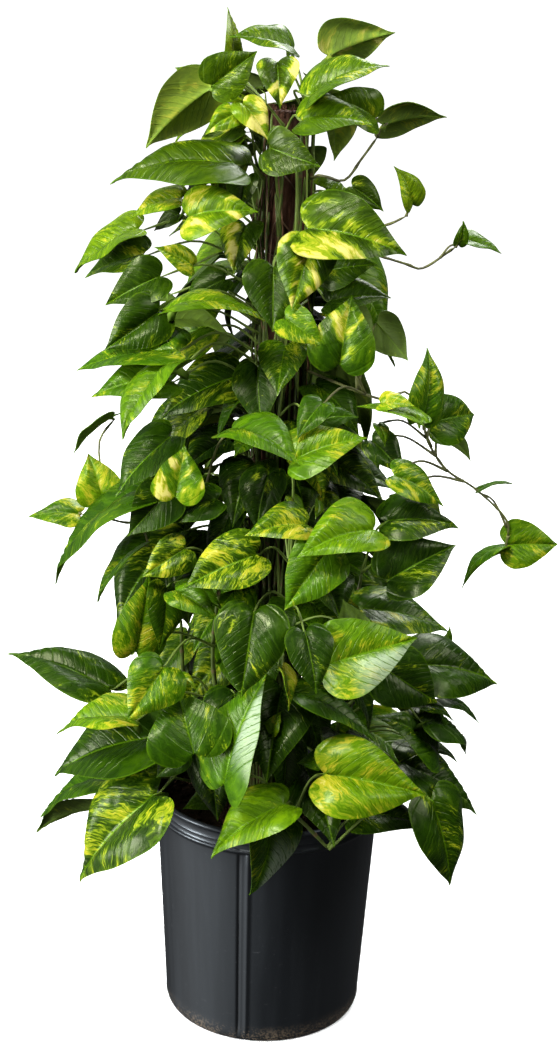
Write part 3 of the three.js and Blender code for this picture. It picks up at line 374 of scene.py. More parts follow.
class Leaf:
    """A leaf between its foot and its tip, with its small habits."""

    def __init__(self, foot, tip, normal, width, item, colour):
        self.item, self.colour, self.foot, self.tip = item, colour, foot, tip
        self.axis = tip - foot
        self.length = self.axis.length
        self.axis.normalize()
        self.normal = (normal - self.axis * normal.dot(self.axis)).normalized()
        self.side = self.normal.cross(self.axis)
        self.fold = 0.06 + 0.3 * draw(item, 2)
        self.width = max(width, 6) * math.hypot(1, self.fold)
        self.arch = 0.05 + 0.07 * draw(item, 1)
        self.wave = 0.012 + 0.022 * draw(item, 3)
        self.waves = 1.6 + 1.2 * draw(item, 4)
        self.phase = draw(item, 5)
        self.roll = 0.025 + 0.05 * draw(item, 6)
        self.stem = self.bend = self.start = None

    @property
    def levels(self):
        return SMALL_BLADE_ROWS if self.length < SMALL_BLADE else BLADE_ROWS

    def place(self, u, v, w):
        return self.foot + self.axis * (u * self.length) + self.side * v + self.normal * w

    def height(self, a, b, u, v):
        """How far the blade stands off its own plane."""
        edge = math.sin(math.pi * min(a * 1.1, 1))
        turn = self.waves * a + self.phase + (0.31 if b < 0 else 0)
        return self.length * (self.arch * 4 * u * (1 - u)
                              + self.wave * b * b * edge * math.sin(2 * math.pi * turn)) + self.fold * abs(v)

    def solid_point(self, a, b, spread=1):
        """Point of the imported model's blade: a from notch to tip, b from margin to margin."""
        cu, cv = outline_straight(a)
        u = a + abs(b) * (cu - a)
        v = b * cv * self.width * spread / 2
        return self.place(u, v, self.height(a, b, u, v))


def front_leaf(row, item, forward):
    fx, fz, fd, tx, tz, td, seen_width, side, colour = row
    depths = fd + forward[0], td + forward[1]
    foot, tip = seen(fx, fz, depths[0]), seen(tx, tz, depths[1])
    axis = tip - foot
    length = axis.length
    axis.normalize()
    view = (Vector(EYE) * 10 - (foot + tip) / 2).normalized()
    facing = (view - axis * view.dot(axis)).normalized()
    turn = axis.cross(facing)
    if (turn.z < 0) if abs(turn.z) > 0.25 else (turn.x < 0):
        turn = -turn
    near = seen_width * 10 * (1 - sum(depths) / 2 / EYE_DISTANCE)
    width = max(BLADE_WIDTH * length, near)
    angle = math.acos(min(near / width, 1))
    if side == 1:
        angle = -angle
    if side == 2:
        angle = math.pi - angle
    return Leaf(foot, tip, facing * math.cos(angle) + turn * math.sin(angle), width, item, colour)


def side_leaf(n, item, turn_by, lift):
    level = (n + 0.5) / SIDE_LEAVES
    z = 24 + 80 * level + 5 * (draw(item, 11) - 0.5) + lift
    inner = n % 4 == 3
    bearing = (-20 + 220 * draw(item, 12) if inner else
               -28 + 236 * ((n * GOLDEN_SHARE) % 1) + 14 * (draw(item, 12) - 0.5)) + turn_by
    reach = reach_at(z, bearing) * (0.6 if inner else 0.88 + 0.14 * draw(item, 13))
    size = (9.6 + 4.2 * draw(item, 14)) * (0.78 if z > 88 else 1) * (0.85 if inner else 1)
    droop = math.radians(10 + 62 * draw(item, 15))
    yaw = math.radians(bearing + 70 * (draw(item, 16) - 0.5))
    tone = 1 + int(6 * draw(item, 19))
    pale = int(8 * draw(item, 20) ** 1.5)
    large = 100 if draw(item, 21) < 0.2 else 0
    return leaf_at(bearing, z, reach, size, droop, yaw, item, large + 10 * tone + pale)


def leaf_at(bearing, z, reach, size, droop, yaw, item, colour):
    """A leaf whose blade ends near a reach from the axis, all in centimetres."""
    out = bearing_point(bearing, 1, 0)
    along = Vector((math.cos(yaw) * math.cos(droop), math.sin(yaw) * math.cos(droop), -math.sin(droop)))
    foot = out * max(reach - size * math.cos(droop) * 0.8, 5)
    foot.z = z
    tip = foot + along * size
    to_front = abs(out.x) * (-0.7 if draw(item, 22) < 0.7 else 0.4)
    normal = out * 0.55 + Vector((0.3 * (draw(item, 17) - 0.5), to_front + 0.2 * (draw(item, 18) - 0.5), 1))
    return Leaf(foot * 10, tip * 10, normal, BLADE_WIDTH * size * 10, item, colour)


class Path:
    """A smooth curve through points, measured by its length."""

    def __init__(self, points, divisions=200):
        self.points = [p.copy() for p in points]
        fine = [self.at(i / divisions) for i in range(divisions + 1)]
        self.measure = [0]
        for p, q in zip(fine, fine[1:]):
            self.measure.append(self.measure[-1] + (q - p).length)
        self.length = self.measure[-1]

    def at(self, t):
        pts = self.points
        last = len(pts) - 1
        f = last * t
        i = min(int(f), last - 1)
        weight = f - i
        p1, p2 = pts[i], pts[i + 1]
        p0 = pts[i - 1] if i > 0 else p1 * 2 - p2
        p3 = pts[i + 2] if i + 2 <= last else p2 * 2 - p1
        d0, d1, d2 = ((q - p).length_squared ** 0.25 for p, q in ((p0, p1), (p1, p2), (p2, p3)))
        d1 = 1 if d1 < 1e-4 else d1
        d0 = d1 if d0 < 1e-4 else d0
        d2 = d1 if d2 < 1e-4 else d2
        t1 = ((p1 - p0) / d0 - (p2 - p0) / (d0 + d1) + (p2 - p1) / d1) * d1
        t2 = ((p2 - p1) / d1 - (p3 - p1) / (d1 + d2) + (p3 - p2) / d2) * d1
        return (p1 + t1 * weight + (p2 * 3 - p1 * 3 - t1 * 2 - t2) * weight ** 2
                + (p1 * 2 - p2 * 2 + t1 + t2) * weight ** 3)

    def spaced(self, steps):
        """Points at equal lengths along the curve."""
        out, i = [], 0
        for k in range(steps + 1):
            want = self.length * k / steps
            while i < len(self.measure) - 2 and self.measure[i + 1] < want:
                i += 1
            span = self.measure[i + 1] - self.measure[i]
            out.append(self.at((i + (want - self.measure[i]) / (span or 1)) / (len(self.measure) - 1)))
        return out


def along(points, steps, parts):
    rings = Path(points).spaced(steps)
    return [p.lerp(q, (k + 1) / parts) for p, q in zip(rings, rings[1:]) for k in range(parts)]


class Stem:
    """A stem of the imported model: its smooth path, the places where stalks start, and its side twigs."""

    def __init__(self, name, points, radius, steps):
        self.name, self.points, self.radius = name, points, radius
        self.line = along(points[1:], steps, 8)
        self.places = [p for p in self.line if p.z > SOIL_TOP + 20]
        self.twigs = []


def make_stems():
    stems = []
    for i, (name, bearing, top) in enumerate(CLIMBERS):
        points = [bearing_point(bearing, CLIMBER_ROOT, z) for z in (STEM_FOOT, SOIL_TOP + 8)]
        z = 300
        while z < top:
            points.append(bearing_point(bearing + 5 * math.sin(z / 90 + i),
                                        CLIMBER_RADIUS + 0.7 * math.sin(z / 40 + 2 * i), z))
            z += 100
        points.append(bearing_point(bearing, CLIMBER_RADIUS + 1, top))
        stems.append(Stem(name, points, STEM_RADIUS, 9))
    for i, (name, bearing, root, lean, top) in enumerate(SHOOTS):
        points = [bearing_point(bearing, root, STEM_FOOT), bearing_point(bearing, root, SOIL_TOP + 8)]
        for k in (1, 2, 3):
            reach = root + lean * math.sin(k / 3 * 1.5)
            height = SOIL_TOP + 8 + (top - SOIL_TOP - 8) * k / 3
            points.append(bearing_point(bearing + 4 * math.sin(2 * k + i), reach, height))
        stems.append(Stem(name, points, SHOOT_RADIUS, 5))
    x, y = TRAILER_FOOT
    stems.append(Stem("trailing_stem", [Vector((x, y, STEM_FOOT)), Vector((x, y, SOIL_TOP + 8)),
                                        Vector((x, y - 14, SOIL_TOP + 42))] + [seen(*p) for p in TRAILER],
                      SHOOT_RADIUS, 9))
    for name, z, points in TWIGS:
        stem = next(s for s in stems if s.name == name)
        start = stem.line[0]
        for p in stem.line:
            if abs(p.z - z) <= abs(start.z - z):
                start = p
        path = [start] + [seen(*p) for p in points]
        stem.twigs.append(path)
        stem.places += along(path, 2 * len(path), 2)[5:]
    return stems


def start_cost(place, goal, leaf):
    """How far a stalk's start lies from its goal, and more where it stands above the leaf's foot."""
    return (place - goal).length + 1.3 * max(0, place.z - leaf.foot.z + 15)


def best_place(stem, leaf):
    return min(stem.places, key=lambda p: start_cost(p, leaf.foot, leaf))


def stalk_points(leaf, start, bend):
    end = leaf.solid_point(0, 0).lerp(leaf.solid_point(leaf.levels[1], 0), 0.4)
    foot = leaf.solid_point(0, 0) - leaf.normal * (STALK_RADIUS + 1.2)
    span = foot - start
    reach = span.length
    across = Vector((-span.y, span.x, 0)).normalized()
    middle = start + span * 0.55 + across * (bend[0] * reach) + Vector((0, 0, bend[1] * reach))
    return [start, middle, foot, end]


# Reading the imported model: which pose each leaf took.


def packed_points():
    """The corners of every leafy node, in millimetres, with the node that each belongs to."""
    names = [n for n in sorted(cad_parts) if n.startswith(("leafy", "trailing"))]
    rows = sorted({(tuple(round(c * 1000, 3) for c in v.co), n)
                   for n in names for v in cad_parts[n].data.vertices})
    tree = KDTree(len(rows))
    for i, (co, _) in enumerate(rows):
        tree.insert(co, i)
    tree.balance()
    return tree, [n for _, n in rows]


def pose_score(leaf, tree, owner):
    """Share of the pose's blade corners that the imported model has, and the node that has most of them."""
    hits, total = {}, 0
    for a in leaf.levels:
        for b in ((0,) if a in (0, 1) else (-1, 0, 1)):
            centre = leaf.solid_point(a, b, FACET_SPREAD)
            for face in (1, -1):
                total += 1
                _, i, gap = tree.find(centre + leaf.normal * (face * SOLID_THICKNESS / 2))
                if gap < CORNER_GAP:
                    hits[owner[i]] = hits.get(owner[i], 0) + 1
    if not hits:
        return 0, None
    node = max(sorted(hits), key=hits.get)
    return hits[node] / total, node


def choose_bend(leaf, start, tree, owner):
    def fit(bend):
        rings = Path(stalk_points(leaf, start, bend), 80).spaced(4)[1:4]
        return sum(1 for c in rings for _, i, gap in tree.find_range(c, STALK_RADIUS + 0.15)
                   if gap > STALK_RADIUS - 0.15 and owner[i] == leaf.stem.name)
    return max(BENDS, key=fit)


def packed_leaves(stems):
    """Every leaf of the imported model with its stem, and the small or crowded front leaves besides."""
    tree, owner = packed_points()
    by_name = {s.name: s for s in stems}
    found, spare = [], []
    sets = [[front_leaf(row, item, f) for f in FORWARD] for item, row in enumerate(FRONT)]
    sets += [[side_leaf(n, len(FRONT) + n, *swing) for swing in SWINGS] for n in range(SIDE_LEAVES)]
    for poses in sets:
        scored = [(pose_score(leaf, tree, owner), -k) for k, leaf in enumerate(poses)]
        (share, node), k = max(scored, key=lambda s: (s[0][0], s[1]))
        leaf = poses[-k]
        if share > LEAST_SHARE:
            leaf.stem = by_name[node]
            leaf.start = best_place(leaf.stem, leaf)
            leaf.bend = choose_bend(leaf, leaf.start, tree, owner)
            found.append(leaf)
        else:
            spare.append(poses)
    return found, spare


# Meshes.


BLADE_LAYER = "blade"
PAINT_LAYER = "paint"
MARK_LAYER = "mark"
UPPER, UNDER, WOOD = 0, 1, 2
SIDE_VEINS = 9
VEIN_LEAN = 0.62
VEIN_CURL = 1.35
VEIN_FADE = 0.16


def vein_flow(u, v):
    """Place along the midrib, in leaf lengths, from which the side vein through u, v comes."""
    v = abs(v)
    flow = u - VEIN_LEAN * v - VEIN_CURL * v * v
    return flow if flow > 0 else flow * VEIN_FADE / (v + VEIN_FADE)


def new_mesh():
    bm = bmesh.new()
    bm.verts.layers.float_vector.new(BLADE_LAYER)
    bm.verts.layers.float_vector.new(PAINT_LAYER)
    bm.verts.layers.float_vector.new(MARK_LAYER)
    return bm


def join_part(bm, part):
    """Adds a small part's mesh to a piece's, which is quicker than shaping it inside the large one."""
    mesh = bpy.data.meshes.new("part")
    part.to_mesh(mesh)
    part.free()
    bm.from_mesh(mesh)
    bpy.data.meshes.remove(mesh)


def grid_of(bm, across, lengthwise):
    """A grid's corners with their shares from -1 to 1 across and 0 to 1 along."""
    made = bmesh.ops.create_grid(bm, x_segments=across, y_segments=lengthwise, size=1)["verts"]
    return [(v, v.co.x, (v.co.y + 1) / 2) for v in made]


def add_blade(piece, leaf, settings, fine=True):
    """One heart-shaped blade: a grid bent to the leaf's form, swollen between its veins and thickened."""
    bm = new_mesh()
    across, lengthwise = ((16, 40) if leaf.length > 70 else (14, 28)) if fine else (10, 18)
    uv, paint = bm.verts.layers.float_vector[BLADE_LAYER], bm.verts.layers.float_vector[PAINT_LAYER]
    relief = settings.vein_relief / MM * min(leaf.length / FULL_BLADE, 1.1)
    tone, pale = leaf.colour % 100 // 10 / 9, leaf.colour % 10 / 9
    # The thousands pick the half of the blade that gets a painted sheen, a painted reflection: none, one half
    # or the other.
    large, sheen_side = leaf.colour // 100 % 10, (0, -1, 1)[leaf.colour // 1000]
    mark = bm.verts.layers.float_vector[MARK_LAYER]
    seed = draw(leaf.item, 40)
    lean = 0.35 * (draw(leaf.item, 41) - 0.5)
    corners = grid_of(bm, across, lengthwise)
    for vert, x, y in corners:
        b = math.copysign(abs(x) ** 1.3, x)
        a = y ** 1.2
        cu, cv = outline_smooth(a)
        k = abs(b)
        u = a + k * (cu - a)
        uneven = 1 + 0.2 * lean * b + 0.06 * noise.noise(Vector((a * 7, 3 if b > 0 else -3, 60 * seed)))
        v = b * cv * leaf.width / 2 * FACET_SPREAD * uneven
        flow = vein_flow(u, v / leaf.length)
        w = leaf.height(a, b, u, v)
        curl = math.sin(math.pi * min(k * 1.15, 1.35)) * math.sin(math.pi * min(a + 0.1, 1))
        w += leaf.length * leaf.roll * curl
        fade = min(6 * (1 - a), 8 * a, 1)
        swell = fade * min(k * 3, 1) * (1 - k ** 4)
        w -= relief * swell * math.cos(2 * math.pi * flow * SIDE_VEINS)
        w -= 0.9 * math.exp(-(v / 1.8) ** 2) * (1 - a)
        dent = noise.noise(Vector((u * 3, v / leaf.length * 4, 90 * seed)))
        w += fade * leaf.length * 0.03 * min(3 * k, 1) * dent
        droop = max(a - 0.8, 0) / 0.2
        w -= leaf.length * 0.006 * droop * droop
        v += leaf.length * 0.02 * lean * droop * droop
        vert.co = leaf.place(u, v, w) * MM
        vert[uv] = (u, v / leaf.length, seed)
        vert[paint] = (tone, pale, b)
        vert[mark] = (large, sheen_side, min(leaf.length / FULL_BLADE, 1))
    verts = [c[0] for c in corners]
    faces = list({f for v in verts for f in v.link_faces})
    faces.sort(key=lambda f: f.index)
    bmesh.ops.remove_doubles(bm, verts=verts, dist=1e-6)
    faces = [f for f in faces if f.is_valid]
    for f in faces:
        f.material_index = UPPER
        f.smooth = True
        f.normal_update()
    if sum(f.normal.dot(leaf.normal) * f.calc_area() for f in faces) < 0:
        bmesh.ops.reverse_faces(bm, faces=faces)
    old = set(faces)
    made = bmesh.ops.solidify(bm, geom=faces, thickness=settings.blade_thickness)["geom"]
    lower = {g for g in made if isinstance(g, bmesh.types.BMVert)}
    for f in {f for v in lower for f in v.link_faces}:
        f.smooth = True
        below = all(v in lower for v in f.verts)
        f.material_index = UNDER if below else UPPER
        if not below and f not in old:
            for e in f.edges:
                e.smooth = False
    join_part(piece, bm)


def add_tube(piece, points, radii, sides, mark, pieces=0):
    """A closed round tube along points: a grid rolled up round the path, its two ends drawn to a point."""
    bm = new_mesh()
    layer = bm.verts.layers.float_vector[MARK_LAYER]
    uv, paint = bm.verts.layers.float_vector[BLADE_LAYER], bm.verts.layers.float_vector[PAINT_LAYER]
    rings = [points[0]] + points + [points[-1]]
    sizes = [0] + list(radii) + [0]
    frames, normal = [], None
    for i, p in enumerate(rings):
        ahead, behind = rings[min(i + 1, len(rings) - 1)], rings[max(i - 1, 0)]
        axis = ahead - behind
        axis = axis.normalized() if axis.length > 1e-6 else Vector((0, 0, 1))
        if normal is None:
            normal = axis.orthogonal()
        normal = (normal - axis * normal.dot(axis)).normalized()
        frames.append((normal.copy(), axis.cross(normal)))
    run = [0]
    for p, q in zip(rings, rings[1:]):
        run.append(run[-1] + (q - p).length)
    last = len(rings) - 1
    corners = grid_of(bm, sides, last)
    for vert, x, y in corners:
        i = round(y * last)
        angle = (round((x + 1) / 2 * sides) % sides) * 2 * math.pi / sides
        n, m = frames[i]
        vert.co = (rings[i] + (n * math.cos(angle) + m * math.sin(angle)) * sizes[i]) * MM
        vert[layer] = (run[i], angle / (2 * math.pi), mark)
        vert[uv] = (run[i] / 100, angle / 6, mark)
        vert[paint] = (mark, pieces, 0)
    verts = [c[0] for c in corners]
    faces = list({f for v in verts for f in v.link_faces})
    bmesh.ops.remove_doubles(bm, verts=verts, dist=1e-7)
    faces = [f for f in faces if f.is_valid]
    bmesh.ops.recalc_face_normals(bm, faces=faces)
    for f in faces:
        f.material_index = WOOD
        f.smooth = True
    join_part(piece, bm)


def finish_piece(bm, name, materials, replaced):
    mesh = bpy.data.meshes.new(name)
    bm.to_mesh(mesh)
    bm.free()
    for m in materials:
        mesh.materials.append(m)
    piece = bpy.data.objects.new(name, mesh)
    bpy.context.scene.collection.objects.link(piece)
    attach(piece, BODY)
    if replaced:
        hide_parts(replaced)
    return piece


def joint_swell(run, spacing, spread):
    """How much a place along a stem swells: 1 at a joint and next to 0 between two."""
    gap = abs((run + spacing / 2) % spacing - spacing / 2)
    return math.exp(-(gap / spread) ** 2)


def add_stem(bm, stem):
    """A stem with a swollen joint wherever a leaf could stand, and its side twigs."""
    path = Path(stem.points, 400)
    count = max(int(path.length / 5), 12)
    points = path.spaced(count)
    radii, step = [], path.length / count
    for i in range(count + 1):
        taper = 1 - 0.35 * (i / count) ** 2
        radii.append(stem.radius * (0.95 * taper + 0.22 * joint_swell(i * step, NODE_SPACING, 3.2)))
    radii[-1] *= 0.4
    add_tube(bm, points, radii, 10, GREEN_STEM)
    for twig in stem.twigs:
        fine = Path(twig, 200)
        count = max(int(fine.length / 6), 8)
        sizes = []
        for i in range(count + 1):
            swell = joint_swell(i * fine.length / count, 28, 2.5)
            sizes.append(TWIG_RADIUS * (0.85 - 0.15 * i / count + 0.3 * swell))
        sizes[-1] *= 0.4
        add_tube(bm, fine.spaced(count), sizes, 8, BROWN_TWIG)
    return path


def thin_vine_paths():
    """The course and thickness of each thin young vine."""
    for k, (bearing, radius, top, thick) in enumerate(THIN_VINES):
        count = int((top - SOIL_TOP) / 45)
        points = []
        for i in range(count + 1):
            z = SOIL_TOP - 6 + (top - SOIL_TOP + 6) * i / count
            sway = (8 + 7 * max(z - 700, 0) / 300) * math.sin(z / 75 + 2.3 * k)
            points.append(bearing_point(bearing + sway, radius + 2 * math.sin(z / 50 + k), z))
        yield Path(points, 300), thick


def add_thin_vines(bm):
    for k, (path, thick) in enumerate(thin_vine_paths()):
        rings = int(path.length / 7)
        radii = []
        for i in range(rings + 1):
            swell = joint_swell(i * path.length / rings, 36, 2.6)
            radii.append(thick * (1 - 0.4 * i / rings + 0.3 * swell))
        radii[-1] *= 0.4
        add_tube(bm, path.spaced(rings), radii, 7, GREEN_STALK if k % 2 else GREEN_STEM)


def add_hanging_roots(bm, stem):
    """Thin roots and old stalks that lie along the pole beside a climbing stem."""
    for k in range(HANGING_ROOTS):
        item = HANGING_ROOT_ITEMS + 60 * sum(map(ord, stem.name)) + k
        start = stem.line[int(draw(item, 1) * (len(stem.line) - 1))]
        length = 50 + 130 * draw(item, 2)
        bearing = math.degrees(math.atan2(start.y, start.x))
        radius, drift = 24 + 12 * draw(item, 4), 62 * (draw(item, 3) - 0.5)
        points = []
        for i in range(9):
            out = min(i / 2, 1)
            z = max(start.z - length * i / 8, SOIL_TOP - 3)
            sway = out * (drift * i / 8 + 6 * math.sin(z / 27 + 6 * draw(item, 5)))
            far = start.xy.length * (1 - out) + (radius + 2 * math.sin(z / 31 + k)) * out
            points.append(bearing_point(bearing + sway, far, z - 0.01 * i))
        thick = 0.7 + 0.7 * draw(item, 6)
        add_tube(bm, points, [thick * (1 - 0.07 * i) for i in range(9)], 5,
                 ROOT_BROWN if draw(item, 7) < 0.6 else GREEN_STALK)


def add_air_roots(bm, stem, path):
    count = int(path.length / NODE_SPACING)
    places = path.spaced(count)
    for k in range(2, count):
        start = places[k]
        item = AIR_ROOT_ITEMS + 40 * sum(map(ord, stem.name)) + k
        turn = math.radians(70 * (draw(item, 1) - 0.5) + (28 if draw(item, 2) > 0.5 else -28))
        bearing = math.atan2(start.y, start.x)
        drop = 10 + 16 * draw(item, 3)
        points = []
        for i in range(6):
            s = i / 5
            angle = bearing + turn * s
            radius = start.xy.length * (1 - s) + (POLE_RADIUS + 0.9) * s if s < 0.5 else POLE_RADIUS + 1.2
            points.append(Vector((math.cos(angle) * radius, math.sin(angle) * radius, start.z - drop * s)))
        add_tube(bm, points, [1.1 - 0.12 * i for i in range(6)], 5, ROOT_BROWN)


def add_stalk(bm, leaf, fine=True):
    """A leaf stalk: broad where it clasps the stem, slim along its length, and sunk in the midrib."""
    path = Path(stalk_points(leaf, leaf.start, leaf.bend), 120)
    count = 12 if fine else 8
    points = path.spaced(count)
    size = min(0.75 + leaf.length / 330, 1.15)
    radii = []
    for i in range(count + 1):
        s = i / count
        knee = 0.35 if 0.68 < s < 0.8 else 0
        sunk = 1 if s < 0.85 else 0.62
        radii.append(size * (1.25 + 0.9 * math.exp(-s * 7) + knee) * sunk)
    radii[-1] = 0.25
    on_twig = any((leaf.start - p).length < 1 for t in leaf.stem.twigs for p in along(t, 2 * len(t), 2))
    add_tube(bm, points, radii, 7, BROWN_TWIG if on_twig else GREEN_STALK, draw(leaf.item, 60))


# Surfaces.


class Surface:
    """A node material that is put together step by step. Values may be numbers or sockets."""

    def __init__(self, name, **shader):
        self.material = bpy.data.materials.new(name)
        self.material.use_nodes = True
        self.tree = self.material.node_tree
        self.tree.nodes.clear()
        sockets = {key.replace("_", " "): value for key, value in shader.items()}
        self.shader = self.put("ShaderNodeBsdfPrincipled", sockets)
        out = self.put("ShaderNodeOutputMaterial")
        self.tree.links.new(self.shader.outputs[0], out.inputs["Surface"])

    def put(self, kind, inputs=None, **settings):
        node = self.tree.nodes.new(kind)
        for key, value in settings.items():
            setattr(node, key, value)
        for key, value in (inputs or {}).items():
            self.feed(node.inputs[key], value)
        return node

    def feed(self, socket, value):
        if isinstance(value, bpy.types.NodeSocket):
            self.tree.links.new(value, socket)
        elif isinstance(value, (tuple, list)) or hasattr(value, "__len__"):
            socket.default_value = (*value, 1)[:4] if len(socket.default_value) == 4 else tuple(value)
        else:
            socket.default_value = value

    def math(self, operation, *values):
        node = self.put("ShaderNodeMath", operation=operation)
        for i, value in enumerate(values):
            self.feed(node.inputs[i], value)
        return node.outputs[0]

    def add(self, *values):
        total = values[0]
        for value in values[1:]:
            total = self.math("ADD", total, value)
        return total

    def times(self, a, b):
        return self.math("MULTIPLY", a, b)

    def from_half(self, value):
        """How far a value's fraction lies from one half."""
        return self.math("ABSOLUTE", self.math("SUBTRACT", self.math("FRACT", value), 0.5))

    def vector(self, x, y, z):
        return self.put("ShaderNodeCombineXYZ", {"X": x, "Y": y, "Z": z}).outputs[0]

    def split(self, socket):
        return self.put("ShaderNodeSeparateXYZ", {"Vector": socket}).outputs[:3]

    def attribute(self, name):
        return self.put("ShaderNodeAttribute", attribute_name=name).outputs["Vector"]

    def place(self):
        return self.put("ShaderNodeTexCoord").outputs["Object"]

    def noise(self, vector, scale=1, detail=2, rough=0.5):
        values = {"Vector": vector, "Scale": scale, "Detail": detail, "Roughness": rough}
        return self.put("ShaderNodeTexNoise", values).outputs[0]

    def step(self, value, low, high, start=0, end=1):
        node = self.put("ShaderNodeMapRange", interpolation_type="SMOOTHSTEP")
        for key, item in (("Value", value), ("From Min", low), ("From Max", high),
                          ("To Min", start), ("To Max", end)):
            self.feed(node.inputs[key], item)
        return node.outputs[0]

    def mix(self, share, a, b, blend="MIX"):
        node = self.put("ShaderNodeMix", data_type="RGBA", blend_type=blend)
        for socket, value in zip((node.inputs[0], node.inputs[6], node.inputs[7]), (share, a, b)):
            self.feed(socket, value)
        return node.outputs[2]

    def ramp(self, value, stops):
        node = self.put("ShaderNodeValToRGB", {"Fac": value})
        points = node.color_ramp.elements
        while len(points) < len(stops):
            points.new(1)
        for point, (at, colour) in zip(points, stops):
            point.position, point.color = at, (*colour, 1)
        return node.outputs[0]

    def bump(self, height, distance, strength=1.0):
        node = self.put("ShaderNodeBump", {"Height": height, "Distance": distance, "Strength": strength})
        self.feed(self.shader.inputs["Normal"], node.outputs[0])

    def colour(self, value):
        self.feed(self.shader.inputs["Base Color"], value)

    def roughness(self, value):
        self.feed(self.shader.inputs["Roughness"], value)


def shade_of(colour, k):
    return tuple(min(c * k, 1) for c in colour)


def leaf_surface(settings, under):
    """Blade: green by its tone, marbled with yellow along the side veins, glossy above and dull below."""
    deep, green, lime, splash, cream = (tuple(getattr(settings, n)) for n in (
        "deep_green", "leaf_green", "lime", "splash", "cream"))
    if under:
        s = Surface("leaf_underside", Roughness=0.5, IOR=1.4, Specular_IOR_Level=0.10)
    else:
        s = Surface("leaf_upper_side", Roughness=0.3, IOR=1.45, Specular_IOR_Level=0.23,
                    Specular_Tint=(0.92, 1, 0.60))
    u, v, seed = s.split(s.attribute(BLADE_LAYER))
    tone, pale, edge = s.split(s.attribute(PAINT_LAYER))
    large, sheen_side, size = s.split(s.attribute(MARK_LAYER))
    away = s.math("ABSOLUTE", v)
    straight = s.math("SUBTRACT", s.math("SUBTRACT", u, s.times(away, VEIN_LEAN)),
                      s.times(s.times(away, away), VEIN_CURL))
    behind = s.math("DIVIDE", s.times(s.math("MINIMUM", straight, 0), VEIN_FADE), s.add(away, VEIN_FADE))
    flow = s.add(s.math("MAXIMUM", straight, 0), behind)
    key = s.add(s.times(seed, 87.0), s.times(s.math("GREATER_THAN", v, 0), 11.7))
    drift = s.noise(s.vector(s.times(u, 7), s.times(v, 9), key), 1, 2)
    wander = s.times(s.math("SUBTRACT", drift, 0.5), 0.12)
    run = s.add(flow, wander)
    streak = s.noise(s.vector(s.times(run, 46), s.times(away, 10), key), 1, 3, 0.65)
    patch = s.noise(s.vector(s.times(run, 10), s.times(away, 7), s.add(key, 5)), 1, 3)
    sector = s.noise(s.vector(s.times(run, 2.8), s.times(away, 2.2), s.add(key, 9)), 1, 1)
    fleck = s.noise(s.vector(s.times(run, 90), s.times(away, 28), key), 1, 3, 0.6)
    shade = s.noise(s.vector(s.times(run, 20), s.times(away, 6), s.add(key, 15)), 1, 3, 0.6)
    marble = s.add(s.times(streak, s.math("SUBTRACT", 1.0, s.times(large, 0.6))), s.times(patch, 0.9),
                   s.times(sector, s.add(s.times(large, 1.1), 1.0)),
                   s.times(fleck, s.math("SUBTRACT", 0.7, s.times(large, 0.55))),
                   s.add(s.times(large, 0.02), -1.3))
    limit = s.math("SUBTRACT", 0.82, s.times(pale, 0.40))
    above = s.math("SUBTRACT", marble, limit)
    base = s.ramp(tone, [(0, deep), (0.25, shade_of(green, 0.40)), (0.5, green),
                         (0.75, tuple((g + l) / 2 for g, l in zip(green, lime))), (1, lime)])
    dark = s.mix(1.0, base, (0.42, 0.50, 0.55), "MULTIPLY")
    light = s.mix(1.0, base, (1.75, 1.45, 1.3), "MULTIPLY")
    base = s.mix(s.step(shade, 0.36, 0.60, 0.75, 0), base, dark)
    base = s.mix(s.step(shade, 0.50, 0.72, 0, 0.8), base, light)
    height = s.split(s.place())[2]
    base = s.mix(s.step(height, 0.76, 0.98, 0, 0.9), base, s.mix(1.0, base, (1.6, 1.12, 1.1), "MULTIPLY"))
    halo = s.times(s.step(above, -0.24, 0.0), s.add(s.times(pale, 0.55), 0.2))
    base = s.mix(halo, base, s.mix(0.5, light, lime))
    base = s.mix(s.step(above, -0.03, 0.07, 0, 0.9), base, s.mix(0.3, lime, splash))
    base = s.mix(s.step(above, 0.08, 0.22), base, splash)
    base = s.mix(s.step(s.add(above, s.times(large, 0.2)), 0.34, 0.55), base, cream)
    side_vein = s.from_half(s.add(s.times(flow, SIDE_VEINS), 8.5))
    vein = s.step(side_vein, 0.0, 0.09, 1, 0)
    midrib = s.step(away, 0.004, 0.013, 1, 0)
    # Painted highlight: a thin pale line along the blade's margin paints the light that the edge catches.
    rim = s.step(s.math("ABSOLUTE", edge), 0.955, 0.985)
    # Painted sheen: on the chosen half the blade is mixed towards a pale grey-green between its veins, which
    # paints a whitish reflection of light.
    half = s.times(s.step(s.times(v, sheen_side), 0.015, 0.10), s.step(u, 0.12, 0.5))
    painted_sheen = s.times(half, s.step(s.add(streak, s.times(vein, -0.25)), 0.24, 0.5, 0, 0.66))
    base = s.mix(painted_sheen, base, (0.36, 0.44, 0.31))
    pale_line = tuple((g + l) / 2 for g, l in zip(green, lime))
    base = s.mix(s.times(vein, 0.3 if under else 0.14), base, pale_line)
    base = s.mix(s.times(midrib, 0.55), base, shade_of(pale_line, 1.4))
    base = s.mix(s.times(rim, 0.4), base, pale_line)
    if under:
        base = s.mix(0.42, base, (0.155, 0.21, 0.045))
    s.colour(base)
    fine = s.noise(s.vector(s.times(u, 160), s.times(v, 160), key), 1, 2)
    height = s.add(s.times(vein, 0.8 if under else -0.7), s.times(streak, 0.6),
                   s.times(shade, 0.9), s.times(fine, 0.05))
    s.bump(s.times(height, size), 0.0008, 0.65)
    s.roughness(s.step(fine, 0.3, 0.7, 0.45, 0.6) if under else s.step(streak, 0.3, 0.7, 0.23, 0.36))
    return s.material


